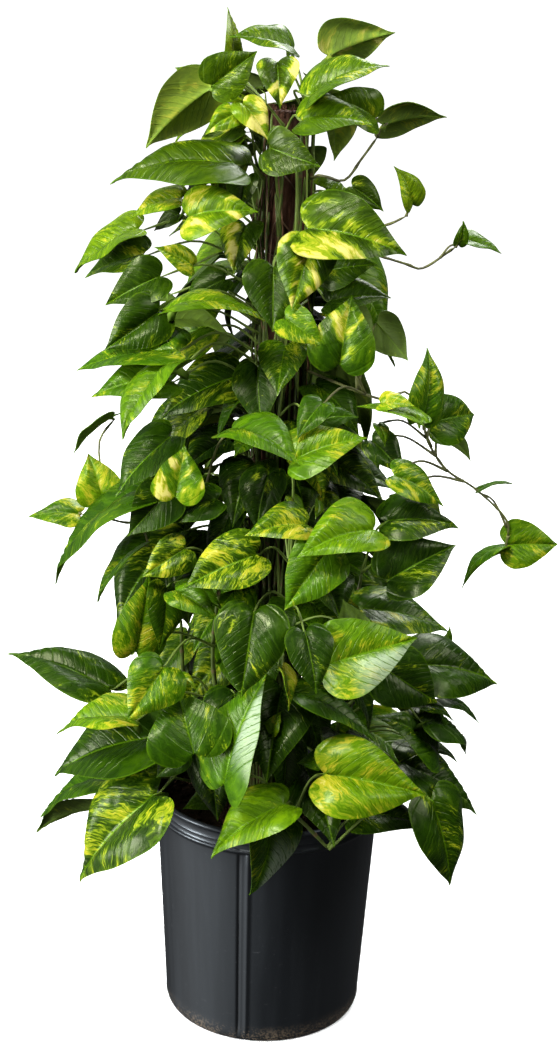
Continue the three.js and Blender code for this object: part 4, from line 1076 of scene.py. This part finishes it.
def stem_surface(settings):
    """Stalks, stems, twigs and short roots, told apart by their mark."""
    s = Surface("stem_and_stalk", Roughness=0.45, IOR=1.4, Specular_IOR_Level=0.3)
    run, turn, kind = s.split(s.attribute(MARK_LAYER))
    stalk = tuple(settings.stalk_green)
    streak = s.noise(s.vector(s.times(run, 0.03), s.times(turn, 14), kind), 1, 3)
    blotch = s.noise(s.vector(s.times(run, 0.09), s.times(turn, 3), kind), 1, 2)
    grain = s.noise(s.vector(s.times(run, 1.1), s.times(turn, 30), kind), 1, 2)
    green = s.mix(s.step(blotch, 0.35, 0.7), shade_of(stalk, 0.32), shade_of(stalk, 0.62))
    leafy = s.mix(s.step(streak, 0.35, 0.65), shade_of(stalk, 0.72), shade_of(stalk, 1.25))
    twig = s.mix(s.step(blotch, 0.35, 0.7), (0.07, 0.07, 0.03), (0.15, 0.165, 0.05))
    root = s.mix(s.step(blotch, 0.35, 0.7), (0.05, 0.026, 0.014), (0.16, 0.09, 0.045))
    joint = s.from_half(s.add(s.times(run, 1 / NODE_SPACING), 0.5))
    green = s.mix(s.step(joint, 0.02, 0.06, 0.75, 0), green, (0.10, 0.062, 0.03))
    colour = s.mix(s.math("GREATER_THAN", kind, 0.2), green, leafy)
    colour = s.mix(s.math("GREATER_THAN", kind, 0.45), colour, twig)
    colour = s.mix(s.math("GREATER_THAN", kind, 0.75), colour, root)
    s.colour(colour)
    s.roughness(s.step(grain, 0.3, 0.7, 0.34, 0.55))
    s.bump(s.add(streak, s.times(grain, 0.3)), 0.0004, 0.6)
    return s.material


def bark_surface(settings):
    s = Surface("bark", Roughness=0.85, IOR=1.4, Specular_IOR_Level=0.2)
    bark = tuple(settings.bark)
    x, y, z = s.split(s.place())
    fibre = s.noise(s.vector(s.times(x, 260), s.times(y, 260), s.times(z, 26)), 1, 4, 0.6)
    flake = s.noise(s.vector(s.times(x, 70), s.times(y, 70), s.times(z, 24)), 1, 3)
    patch = s.noise(s.vector(s.times(x, 18), s.times(y, 18), s.times(z, 11)), 1, 2)
    # The bark's own tone varies with the fibre, flake and patch noise. As the same fibre and flake noise
    # raises the bump, the darkest colour in the grooves is partly painted shade and the lightest tan on the
    # ridges partly a painted highlight.
    tone = s.add(s.times(fibre, 0.5), s.times(flake, 0.35), s.times(patch, 0.3))
    s.colour(s.ramp(tone, [(0.38, shade_of(bark, 0.14)), (0.52, shade_of(bark, 0.55)), (0.64, bark),
                           (0.82, (0.26, 0.125, 0.07))]))
    s.bump(s.add(fibre, s.times(flake, 1.2)), 0.0012, 0.9)
    s.roughness(s.step(fibre, 0.3, 0.7, 0.95, 0.68))
    return s.material


def soil_surface(settings):
    s = Surface("potting_mix", Roughness=0.95, IOR=1.4, Specular_IOR_Level=0.15)
    soil = tuple(settings.soil)
    place = s.place()
    coarse, grit = s.noise(place, 140, 3, 0.6), s.noise(place, 900, 2, 0.6)
    kind = s.split(s.attribute(PAINT_LAYER))[0]
    tone = s.add(s.times(coarse, 0.6), s.times(grit, 0.25), s.times(kind, 0.35))
    s.colour(s.ramp(tone, [(0.35, shade_of(soil, 0.3)), (0.55, soil), (0.75, shade_of(soil, 2.2)),
                           (0.95, (0.17, 0.10, 0.055))]))
    s.bump(s.add(coarse, s.times(grit, 0.5)), 0.0016, 0.9)
    return s.material


def pot_surface(settings):
    """Moulded plastic: satin, faintly streaked where it was drawn from the mould, dusty at its foot."""
    s = Surface("black_plastic", Roughness=0.4, IOR=1.5, Specular_IOR_Level=1.0,
                Specular_Tint=(0.84, 0.93, 1))
    plastic = tuple(settings.plastic)
    x, y, z = s.split(s.place())
    streak = s.noise(s.vector(s.times(x, 55), s.times(y, 55), s.times(z, 3)), 1, 3)
    cloud = s.noise(s.vector(s.times(x, 9), s.times(y, 9), s.times(z, 7)), 1, 2)
    scuff = s.noise(s.vector(s.times(x, 90), s.times(y, 90), s.times(z, 420)), 1, 3, 0.65)
    grain = s.noise(s.vector(x, y, z), 2600, 2)
    speck = s.noise(s.vector(x, y, z), 420, 3, 0.7)
    colour = s.mix(s.step(cloud, 0.3, 0.7, 0.0, 0.5), plastic, shade_of(plastic, 1.7))
    colour = s.mix(s.step(streak, 0.45, 0.8, 0.0, 0.35), colour, shade_of(plastic, 2.2))
    foot = s.times(s.step(z, 0.0, 0.024, 1, 0), s.step(s.add(speck, s.times(cloud, 0.5)), 0.74, 0.86))
    colour = s.mix(s.times(foot, 0.85), colour, (0.20, 0.15, 0.10))
    marks = s.times(s.step(scuff, 0.66, 0.76), 0.35)
    colour = s.mix(marks, colour, (0.12, 0.12, 0.13))
    # Painted shade: below the ring, the groove of the mould seam is darkened to near black where shade falls
    # in it.
    from_seam = s.math("SUBTRACT", s.math("ARCTAN2", y, x), settings.seam_bearing - 2 * math.pi)
    bearing = s.math("ABSOLUTE", from_seam)
    seam = s.times(s.step(bearing, 0.010, 0.022, 1, 0), s.step(z, 0.236, 0.239, 1, 0))
    colour = s.mix(s.times(seam, 0.8), colour, shade_of(plastic, 0.2))
    s.colour(colour)
    s.roughness(s.add(s.step(streak, 0.3, 0.75, 0.35, 0.45), s.times(marks, 0.3)))
    s.bump(s.add(s.times(grain, 0.3), s.times(streak, 0.5), s.times(marks, 0.6)), 0.0003, 0.35)
    return s.material


def stage_surface(name, colour, glow):
    """Plain pale floor that stays as bright in the distance as it is under the lamps."""
    s = Surface(name, Roughness=0.9, Specular_IOR_Level=0.1)
    x, y, _ = s.split(s.place())
    far = s.math("SQRT", s.add(s.times(x, x), s.times(y, y)))
    s.feed(s.shader.inputs["Emission Color"], (1, 1, 1))
    s.feed(s.shader.inputs["Emission Strength"], s.step(far, 0.7, 3.0, glow, 1.0))
    cloud = s.noise(s.place(), 3, 2)
    s.colour(s.mix(s.step(cloud, 0.3, 0.7), colour, shade_of(colour, 1.015)))
    return s.material


# Pieces.


def spin_profile(bm, profile, steps):
    """A turned shell: the profile's edge spun round the upright axis."""
    verts = [bm.verts.new(Vector((r, 0, z)) * MM) for r, z in profile]
    edges = [bm.edges.new(pair) for pair in zip(verts, verts[1:])]
    bmesh.ops.spin(bm, geom=verts + edges, cent=(0, 0, 0), axis=(0, 0, 1), angle=2 * math.pi, steps=steps,
                   use_merge=True, use_duplicate=False)
    bmesh.ops.remove_doubles(bm, verts=bm.verts[:], dist=1e-6)
    bmesh.ops.recalc_face_normals(bm, faces=bm.faces[:])
    for f in bm.faces:
        f.smooth = True


def arc(centre, radius, start, end, parts):
    """Points of a profile's arc, in degrees from outwards (0) to up (90)."""
    turns = [math.radians(start + (end - start) * i / parts) for i in range(parts + 1)]
    return [(centre[0] + radius * math.cos(t), centre[1] + radius * math.sin(t)) for t in turns]


def wall_radius(z):
    """The outer radius of the tapered wall at a height below the ring."""
    foot = POT_BASE_RADIUS + BASE_FLARE
    return foot + (POT_RING_RADIUS - foot) * z / RING_Z


def even(profile, most):
    """The profile with long straight runs split, so that the wall can be shaped."""
    out = [profile[0]]
    for (r0, z0), (r1, z1) in zip(profile, profile[1:]):
        parts = max(int(math.hypot(r1 - r0, z1 - z0) / most), 1)
        out += [(r0 + (r1 - r0) * k / parts, z0 + (z1 - z0) * k / parts) for k in range(1, parts + 1)]
    return out


def pot_profile():
    """The pot's outside, from the middle of its base up to the rim, and its inside down to the floor."""
    base, ring, top = POT_BASE_RADIUS, POT_RING_RADIUS, POT_HEIGHT
    outside = [(0, 0), (base - 14, 0), (base - 13, 0.8), (base - 7, 0.8), (base - 6, 0)]
    outside += arc((base - 4.4, 5), 5, -90, -4, 6)
    outside += [(wall_radius(8) + 0.2, 8), (wall_radius(14), 14)]
    outside += [(wall_radius(RING_Z - 6), RING_Z - 6), (wall_radius(RING_Z - 4), RING_Z - 3.6)]
    outside += arc((ring + 0.3, RING_Z), 2.3, -70, 70, 6)
    outside += [(ring + 0.1, RING_Z + 3.4), (ring + 0.3, RING_Z + 8), (ring + 0.9, RING_Z + 8.8)]
    outside += [(ring + 0.4, RING_Z + 9.8), (ring + 0.5, top - 8.2), (ring + 1, top - 7.4)]
    outside += arc((ring + 0.8, top - 3.4), 2.6, -50, 60, 6)
    outside += arc((ring + 0.5, top - 2.2), 2.1, 55, 130, 4)
    inside = [(ring - 1.7, top - 3), (ring - 1.7, top - 8), (wall_radius(RING_Z) - POT_WALL, RING_Z),
              (wall_radius(8) - POT_WALL - 0.3, 8), (wall_radius(3) - POT_WALL - 4, POT_FLOOR),
              (0, POT_FLOOR)]
    return even(outside, 12) + inside


class POTHOS_OT_pot(Operator):
    """Make the nursery pot with its rolled rim, ring, mould seam and drain holes"""
    bl_idname = "pothos.pot"
    bl_label = "Pot"

    def execute(self, context):
        settings = context.scene.pothos_pot
        bm = bmesh.new()
        spin_profile(bm, pot_profile(), 144)
        seam = settings.seam_bearing
        for half_degree in SEAM_HALF_DEGREES:
            angle = seam + math.radians(half_degree / 2)
            ahead = Vector((math.cos(seam), math.sin(seam), 0))
            near = [f for f in bm.faces if f.calc_center_median().xy.normalized().dot(ahead.xy) > 0.975
                    and f.calc_center_median().xy.length > 0.1]
            geom = near + list({e for f in near for e in f.edges}) + list({v for f in near for v in f.verts})
            bmesh.ops.bisect_plane(bm, geom=geom, dist=1e-6, plane_co=(0, 0, 0),
                                   plane_no=(-math.sin(angle), math.cos(angle), 0))
        for v in bm.verts:
            z, r = v.co.z / MM, v.co.xy.length / MM
            if not 10 < z < RING_Z - 5 or r < wall_radius(z) - 1:
                continue
            turn = math.degrees(math.atan2(v.co.y, v.co.x) - seam) % 360
            turn = turn - 360 if turn > 180 else turn
            push = -1.5 * math.exp(-(turn / 0.8) ** 2) + 1.7 * math.exp(-((turn - 4.6) / 1.3) ** 2)
            sag = 0.35 * math.sin(3 * math.radians(turn) + 1) * math.sin(math.pi * z / RING_Z)
            v.co.xy = v.co.xy * ((r + push + sag - 0.2) / r)
        mesh = bpy.data.meshes.new("pot_shell")
        bm.to_mesh(mesh)
        bm.free()
        shell = bpy.data.objects.new("pot_shell", mesh)
        drill = bmesh.new()
        size = DRAIN_RADIUS * MM
        for i in range(DRAIN_HOLES):
            at = bearing_point((i + 0.5) * 360 / DRAIN_HOLES, DRAIN_CIRCLE, 0) * MM
            bmesh.ops.create_cone(drill, cap_ends=True, segments=32, radius1=size, radius2=size,
                                  depth=20 * MM, matrix=Matrix.Translation(at))
        drill_mesh = bpy.data.meshes.new("drill")
        drill.to_mesh(drill_mesh)
        drill.free()
        drill_piece = bpy.data.objects.new("drill", drill_mesh)
        for o in (shell, drill_piece):
            context.scene.collection.objects.link(o)
        cut = shell.modifiers.new("drain_holes", "BOOLEAN")
        cut.object, cut.operation, cut.solver = drill_piece, "DIFFERENCE", "EXACT"
        context.view_layer.update()
        done = bpy.data.meshes.new_from_object(shell.evaluated_get(context.evaluated_depsgraph_get()))
        bpy.data.objects.remove(shell)
        bpy.data.objects.remove(drill_piece)
        bm = bmesh.new()
        bm.from_mesh(done)
        for f in bm.faces:
            f.smooth = True
        for e in bm.edges:
            if len(e.link_faces) == 2 and e.calc_face_angle() > math.radians(50):
                e.smooth = False
        finish_piece(bm, "nursery_pot", [pot_surface(settings)], "pot")
        return {"FINISHED"}


class POTHOS_OT_soil(Operator):
    """Make the potting mix with its chips and crumbs"""
    bl_idname = "pothos.soil"
    bl_label = "Soil"

    def execute(self, context):
        settings = context.scene.pothos_pot
        bm = new_mesh()
        paint = bm.verts.layers.float_vector[PAINT_LAYER]
        rim = wall_radius(SOIL_TOP - 8) - POT_WALL - 1.2
        profile = [(0, POT_FLOOR + 0.4), (wall_radius(3) - POT_WALL - 5.3, POT_FLOOR + 0.4),
                   (wall_radius(8) - POT_WALL - 1.3, 8.8), (rim, SOIL_TOP - 9), (rim - 0.6, SOIL_TOP - 6.5),
                   (104, SOIL_TOP - 4), (78, SOIL_TOP - 1), (50, SOIL_TOP - 0.4), (0, SOIL_TOP - 0.2)]
        spin_profile(bm, profile[:3] + even(profile[3:], 2.6), 150)
        for v in bm.verts:
            if v.co.z > (SOIL_TOP - 8) * MM and v.co.xy.length < (rim - 1) * MM:
                p = v.co / MM
                v.co.z += (1.6 * noise.noise(p / 9) + 1.1 * noise.noise(p / 3.6) - 0.6) * MM
            v[paint] = (0.5, 0, 0)
        for n in range(settings.crumbs):
            item = CRUMB_ITEMS + n
            radius = 10 + (rim - 14) * math.sqrt(draw(item, 1))
            size = 1.3 + 4.2 * draw(item, 3) ** 3
            top = SOIL_TOP - 4 * max(radius - 50, 0) / 60
            at = bearing_point(360 * draw(item, 2), radius, top + size * 0.1)
            axis = Vector((draw(item, 5), draw(item, 6), 0.3)).normalized()
            turn = Matrix.Rotation(6.3 * draw(item, 4), 4, axis)
            flat = Matrix.Diagonal((size * (0.8 + draw(item, 7)), size * (0.6 + 0.5 * draw(item, 8)),
                                    size * (0.35 + 0.4 * draw(item, 9)), 1))
            scale = Matrix.Scale(MM, 4)
            crumb = new_mesh()
            layer = crumb.verts.layers.float_vector[PAINT_LAYER]
            made = bmesh.ops.create_icosphere(crumb, subdivisions=1, radius=1,
                                              matrix=scale @ Matrix.Translation(at) @ turn @ flat)["verts"]
            for k, v in enumerate(made):
                dent = Vector([draw(item + k, use) - 0.5 for use in (10, 11, 12)])
                v.co += dent * (size * 0.5 * MM)
                v[layer] = (draw(item, 13), 0, 0)
            join_part(bm, crumb)
        finish_piece(bm, "potting_mix", [soil_surface(settings)], "soil")
        return {"FINISHED"}


class POTHOS_OT_pole(Operator):
    """Make the bark-covered climbing pole with its loose fibres"""
    bl_idname = "pothos.pole"
    bl_label = "Climbing pole"

    def execute(self, context):
        settings = context.scene.pothos_pot
        bm = new_mesh()
        low = POLE_FOOT + 0.4
        profile = [(0, low), (POLE_RADIUS - 1.5, low)] + even([(POLE_RADIUS, low + 1.5),
                                                               (POLE_RADIUS, POLE_TOP - 2)], 3)
        profile += [(POLE_RADIUS - 1.5, POLE_TOP), (POLE_RADIUS - 7, POLE_TOP + 0.4), (0, POLE_TOP + 0.2)]
        spin_profile(bm, profile, 96)
        for v in bm.verts:
            p = v.co / MM
            r = p.xy.length
            if r < POLE_RADIUS - 3:
                continue
            ridge = noise.noise(Vector((p.x / 5.5, p.y / 5.5, p.z / 26)))
            flake = noise.noise(Vector((p.x / 11, p.y / 11, p.z / 15 + 40)))
            grit = noise.noise(p / 2.6)
            push = 2.1 * ridge + 1.3 * max(flake, -0.2) + 0.7 * grit - 0.4
            v.co.xy = v.co.xy * ((r + min(push, 1.1)) / r)
        for n in range(FIBRES):
            item = FIBRE_ITEMS + n
            z = 250 + (POLE_TOP - 262) * draw(item, 1)
            bearing, turn = 360 * draw(item, 2), 60 * (draw(item, 3) - 0.5)
            tall = 14 + 34 * draw(item, 4)
            points = [bearing_point(bearing + turn * s, POLE_RADIUS + 0.5 + 1.1 * math.sin(math.pi * s),
                                    min(z + tall * s, POLE_TOP - 1)) for s in (0, 0.25, 0.5, 0.75, 1)]
            add_tube(bm, points, [0.35, 0.4, 0.4, 0.35, 0.2], 4, ROOT_BROWN)
        for n in range(TOP_FIBRES):
            item = TOP_FIBRE_ITEMS + n
            bearing, radius = 360 * draw(item, 1), POLE_RADIUS - 5 * draw(item, 2) ** 2
            out, tall = 5 * (draw(item, 3) - 0.3), 3 + 7 * draw(item, 4)
            points = [bearing_point(bearing + 20 * (draw(item, 5) - 0.5) * s, radius + out * s * s,
                                    POLE_TOP - 6 + (tall + 4) * s) for s in (0, 0.33, 0.66, 1)]
            add_tube(bm, points, [0.5, 0.45, 0.35, 0.15], 4, ROOT_BROWN)
        for f in bm.faces:
            f.material_index = 0
        finish_piece(bm, "bark_pole", [bark_surface(settings)], "climbing_pole")
        return {"FINISHED"}


# Leaf places that only this scene has: leaves inside the plant, and the front ones that the model leaves out.


class Crowd:
    """What already stands in the plant, for keeping new leaves clear of it."""

    def __init__(self, stems):
        self.items = []
        self.wood = []
        for stem in stems:
            for line in (Path(stem.points, 80).spaced(60), *(Path(t, 60).spaced(24) for t in stem.twigs)):
                self.add_wood(line, stem.radius)
        for path, thick in thin_vine_paths():
            self.add_wood(path.spaced(60), thick)

    def add_wood(self, line, radius):
        self.wood += [(p, q - p, radius) for p, q in zip(line, line[1:])]

    @staticmethod
    def sheet(leaf, grow=1.0):
        """The blade as a tree to search, its middle, and how far it reaches from there."""
        rows, points, faces = (0, 0.1, 0.25, 0.45, 0.65, 0.85, 1), [], []
        for a in rows:
            for b in (-1, -0.5, 0, 0.5, 1):
                points.append(leaf.solid_point(a, b, grow))
        for r in range(len(rows) - 1):
            for c in range(4):
                k = 5 * r + c
                faces.append((k, k + 1, k + 6, k + 5))
        return BVHTree.FromPolygons(points, faces), (leaf.foot + leaf.tip) / 2, leaf.length * 0.75

    def put(self, leaf):
        self.items.append(self.sheet(leaf))
        self.add_wood(Path(stalk_points(leaf, leaf.start, leaf.bend), 24).spaced(8)[:-2], STALK_RADIUS)

    def crossings(self, leaf):
        """How many of the standing blades the leaf's blade would cross."""
        tree, middle, reach = self.sheet(leaf, 1.06)
        return sum(1 for other, at, size in self.items
                   if (at - middle).length < size + reach and tree.overlap(other))

    def threaded(self, leaf):
        """Whether a stem or stalk that already stands would go through the leaf's blade."""
        tree, middle, reach = self.sheet(leaf, 1.06)
        for start, way, radius in self.wood:
            if (start - middle).length > reach + way.length + radius:
                continue
            if tree.ray_cast(start, way.normalized(), way.length)[0]:
                return True
            if tree.find_nearest(start + way / 2, radius + 1)[0]:
                return True
        return False

    def pierced(self, path):
        """How many blades a stalk's path goes through."""
        count = 0
        for p, q in zip(path, path[1:]):
            way = q - p
            for tree, at, size in self.items:
                near = (at - p).length < size + way.length
                if near and tree.ray_cast(p, way.normalized(), way.length)[0]:
                    count += 1
        return count


def low_place(stem, leaf, drop):
    """The place on a stem that lies nearest to a point under the leaf's foot."""
    under = leaf.foot - Vector((0, 0, drop))
    return min(stem.places, key=lambda p: start_cost(p, under, leaf))


def give_stalk(leaf, stems, crowd, most=math.inf):
    """Grows the leaf from a near stem, by the bend that goes through the fewest blades."""
    drop = 20 + 100 * draw(leaf.item, 31)
    able = [s for s in stems if s.name != "trailing_stem" or leaf.foot.z < 280]
    places = sorted(((low_place(s, leaf, drop), s) for s in able),
                    key=lambda place: start_cost(place[0], leaf.foot, leaf))
    options = []
    for rank, (place, stem) in enumerate(places[:4]):
        for k, bend in enumerate(BENDS[:5]):
            path = Path(stalk_points(leaf, place, bend), 24).spaced(8)[:-2]
            options.append((crowd.pierced(path) + rank * 0.3 + k * 0.01, rank, k, place, stem, bend))
    cost, _, _, leaf.start, leaf.stem, leaf.bend = min(options, key=lambda o: o[:3])
    return cost < most


def keeps_clear(leaf):
    """Whether the blade stays off the pole, the soil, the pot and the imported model's outline."""
    low, high = (Vector(c) / MM for c in CAD_BOX)
    for a in (0, 0.12, 0.3, 0.5, 0.75, 1):
        for b in (-1, 0, 1):
            p = leaf.solid_point(a, b, 1.05)
            r = p.xy.length
            if r < POLE_RADIUS + 4 or p.z < SOIL_TOP + 6 or (r > 118 and p.z < POT_HEIGHT + 4):
                return False
            if any(p[k] < low[k] + 8 or p[k] > high[k] - 8 for k in (0, 1)) or p.z > high.z - 12:
                return False
    return True


def open_place(leaf):
    """Whether the place is one where the plant is open: before the pole, and at the right of its top."""
    bearing = math.degrees(math.atan2(leaf.foot.y, leaf.foot.x)) % 360
    if 222 < bearing < 318:
        return leaf.foot.z > 780 or (leaf.foot.z > 560 and draw(leaf.item, 30) < 0.5)
    return leaf.foot.z > 840 and (bearing >= 318 or bearing < 75)


def inner_leaf(n, count, turn_by, lift):
    item = INNER_ITEMS + n
    z = 26.5 + 76 * ((n + 0.5) / count) + 4 * (draw(item, 11) - 0.5) + lift
    bearing = n * GOLDEN_TURN + 20 * (draw(item, 12) - 0.5) + turn_by
    at_front = z > 55 and 215 < bearing % 360 < 325
    reach = reach_at(z, bearing) * (0.28 + (0.22 if at_front else 0.58) * draw(item, 13))
    size = (6.6 + 4.4 * draw(item, 14)) * (0.8 if z > 90 else 1) * (0.7 if at_front else 1)
    droop = math.radians(15 + 60 * draw(item, 15))
    yaw = math.radians(bearing + 90 * (draw(item, 16) - 0.5))
    tone = int(4.1 * draw(item, 19))
    pale = int(7 * draw(item, 20) ** 1.6)
    large = 100 if draw(item, 21) < 0.15 else 0
    return leaf_at(bearing, z, reach, size, droop, yaw, item, large + 10 * tone + pale)


def grow_scene_leaves(stems, found, spare, settings):
    """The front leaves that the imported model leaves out, in the pose that crosses the fewest blades, and
    then inner leaves, which stand clear of blades, stems and stalks."""
    crowd = Crowd(stems)
    for leaf in found:
        crowd.put(leaf)
    grown = []
    for poses in spare:
        if poses[0].item >= len(FRONT):
            continue
        scored = [(crowd.crossings(leaf), k) for k, leaf in enumerate(poses[:9])]
        leaf = poses[min(scored)[1]]
        give_stalk(leaf, stems, crowd)
        crowd.put(leaf)
        grown.append(leaf)
    for n in range(settings.fill_leaves):
        for turn_by, lift in SWINGS:
            leaf = inner_leaf(n, settings.fill_leaves, turn_by, lift)
            if open_place(leaf):
                break
            if not keeps_clear(leaf) or crowd.crossings(leaf) or crowd.threaded(leaf):
                continue
            if give_stalk(leaf, stems, crowd, 1):
                crowd.put(leaf)
                grown.append(leaf)
                break
    return grown


class POTHOS_OT_foliage(Operator):
    """Make every stem with its stalks and marbled heart-shaped leaves"""
    bl_idname = "pothos.foliage"
    bl_label = "Stems and leaves"

    def execute(self, context):
        settings = context.scene.pothos_foliage
        stems = make_stems()
        found, spare = packed_leaves(stems)
        grown = grow_scene_leaves(stems, found, spare, settings)
        surfaces = [leaf_surface(settings, False), leaf_surface(settings, True), stem_surface(settings)]
        print("leaves:", len(found), "of the packed model and", len(grown), "more")
        for stem in stems:
            bm = new_mesh()
            path = add_stem(bm, stem)
            if stem.name.startswith("leafy_vine"):
                add_air_roots(bm, stem, path)
                add_hanging_roots(bm, stem)
            if stem.name == "leafy_vine_front":
                add_thin_vines(bm)
            for leaf in found + grown:
                if leaf.stem is stem:
                    fine = leaf.item < INNER_ITEMS
                    add_blade(bm, leaf, settings, fine)
                    add_stalk(bm, leaf, fine)
            finish_piece(bm, stem.name + "_grown", surfaces, stem.name)
        return {"FINISHED"}


class POTHOS_OT_stage(Operator):
    """Make the floor, the backdrop, the lights and the camera"""
    bl_idname = "pothos.stage"
    bl_label = "Stage"

    def execute(self, context):
        settings = context.scene.pothos_stage
        bm = bmesh.new()
        bmesh.ops.create_circle(bm, cap_ends=True, segments=96, radius=FLOOR_RADIUS)
        mesh = bpy.data.meshes.new("floor")
        bm.to_mesh(mesh)
        bm.free()
        mesh.materials.append(stage_surface("pale_floor", STAGE_COLOUR, settings.floor_glow))
        floor = bpy.data.objects.new("floor", mesh)
        context.scene.collection.objects.link(floor)
        floor.visible_glossy = False
        floor.visible_diffuse = False
        bm = bmesh.new()
        bmesh.ops.create_uvsphere(bm, u_segments=48, v_segments=24, radius=BACKDROP_RADIUS)
        low = [v for v in bm.verts if v.co.z < -0.01]
        bmesh.ops.delete(bm, geom=low, context="VERTS")
        bmesh.ops.reverse_faces(bm, faces=bm.faces[:])
        mesh = bpy.data.meshes.new("backdrop")
        bm.to_mesh(mesh)
        bm.free()
        mesh.materials.append(stage_surface("white_backdrop", STAGE_COLOUR, 1.0))
        backdrop = bpy.data.objects.new("backdrop", mesh)
        context.scene.collection.objects.link(backdrop)
        backdrop.visible_diffuse = backdrop.visible_glossy = backdrop.visible_shadow = False
        world = bpy.data.worlds.new("studio")
        world.use_nodes = True
        tree = world.node_tree
        back = tree.nodes["Background"]
        back.inputs[0].default_value = (1, 1, 1, 1)
        way = tree.nodes.new("ShaderNodeSeparateXYZ")
        ways = tree.nodes.new("ShaderNodeTexCoord").outputs["Generated"]
        tree.links.new(ways, way.inputs[0])

        def spread(socket, low, high, at_low, at_high):
            node = tree.nodes.new("ShaderNodeMapRange")
            tree.links.new(socket, node.inputs["Value"])
            for key, value in (("From Min", low), ("From Max", high),
                               ("To Min", at_low), ("To Max", at_high)):
                node.inputs[key].default_value = value
            return node.outputs[0]

        x, z = way.outputs["X"], way.outputs["Z"]
        above = tree.nodes.new("ShaderNodeMath")
        above.operation = "MULTIPLY"
        tree.links.new(spread(z, 0, 0.65, settings.horizon, settings.sky), above.inputs[0])
        tree.links.new(spread(x, 0.2, 0.8, 1, settings.right_side), above.inputs[1])
        level = tree.nodes.new("ShaderNodeMix")
        tree.links.new(spread(z, -0.15, 0, 0, 1), level.inputs[0])
        toward = tree.nodes.new("ShaderNodeVectorMath")
        toward.operation = "DOT_PRODUCT"
        toward.inputs[1].default_value = FLOOR_LIGHT_FROM
        tree.links.new(ways, toward.inputs[0])
        from_floor = spread(toward.outputs["Value"], 0.35, 0.9, 0.05, settings.floor_light)
        tree.links.new(from_floor, level.inputs[2])
        tree.links.new(above.outputs[0], level.inputs[3])
        tree.links.new(level.outputs[0], back.inputs[1])
        context.scene.world = world
        context.scene.view_settings.view_transform = "Standard"
        middle = Vector(LAMPS_FACE)
        for name, place, size, share, colour in LAMPS:
            data = bpy.data.lights.new(name, "AREA")
            data.shape, data.size, data.energy, data.color = "DISK", size, settings.key_power * share, colour
            lamp = bpy.data.objects.new(name, data)
            lamp.location = place
            lamp.rotation_mode = "QUATERNION"
            lamp.rotation_quaternion = (middle - Vector(place)).to_track_quat("-Z", "Y")
            lamp.visible_glossy = name != "back_fill"
            context.scene.collection.objects.link(lamp)
        camera = bpy.data.objects.new("camera", bpy.data.cameras.new("camera"))
        camera.data.lens, camera.data.sensor_width = settings.lens, SENSOR_WIDTH
        ahead = Vector((0, math.cos(settings.tilt), -math.sin(settings.tilt)))
        right = Vector((1, 0, 0))
        up = right.cross(ahead)
        lean = settings.roll
        across = right * math.cos(lean) + up * math.sin(lean)
        above = up * math.cos(lean) - right * math.sin(lean)
        turn = Matrix((across, above, -ahead)).transposed().to_4x4()
        camera.matrix_world = Matrix.Translation(Vector(settings.eye)) @ turn
        context.scene.collection.objects.link(camera)
        context.scene.camera = camera
        return {"FINISHED"}


OPERATORS = (POTHOS_OT_stage, POTHOS_OT_pot, POTHOS_OT_soil, POTHOS_OT_pole, POTHOS_OT_foliage)


class POTHOS_PT_panel(Panel):
    """Steps and settings of the potted pothos"""
    bl_idname = "POTHOS_PT_panel"
    bl_label = "Potted pothos"
    bl_space_type = "VIEW_3D"
    bl_region_type = "UI"
    bl_category = "Pothos"

    def draw(self, context):
        for operator in OPERATORS:
            self.layout.operator(operator.bl_idname)
        for group in GROUPS:
            settings = getattr(context.scene, group)
            box = self.layout.box()
            for key in settings.bl_rna.properties.keys():
                if key not in ("rna_type", "name"):
                    box.prop(settings, key)


GROUPS = {"pothos_foliage": PothosFoliageSettings, "pothos_pot": PothosPotSettings,
          "pothos_stage": PothosStageSettings}


def register():
    for cls in (*GROUPS.values(), *OPERATORS, POTHOS_PT_panel):
        bpy.utils.register_class(cls)
    for name, group in GROUPS.items():
        setattr(bpy.types.Scene, name, PointerProperty(type=group))


def unregister():
    for name in GROUPS:
        delattr(bpy.types.Scene, name)
    for cls in (POTHOS_PT_panel, *reversed(OPERATORS), *reversed(GROUPS.values())):
        bpy.utils.unregister_class(cls)


def main():
    register()
    bpy.ops.pothos.stage()
    bpy.ops.pothos.pot()
    bpy.ops.pothos.soil()
    bpy.ops.pothos.pole()
    bpy.ops.pothos.foliage()


if __name__ == "__main__":
    main()
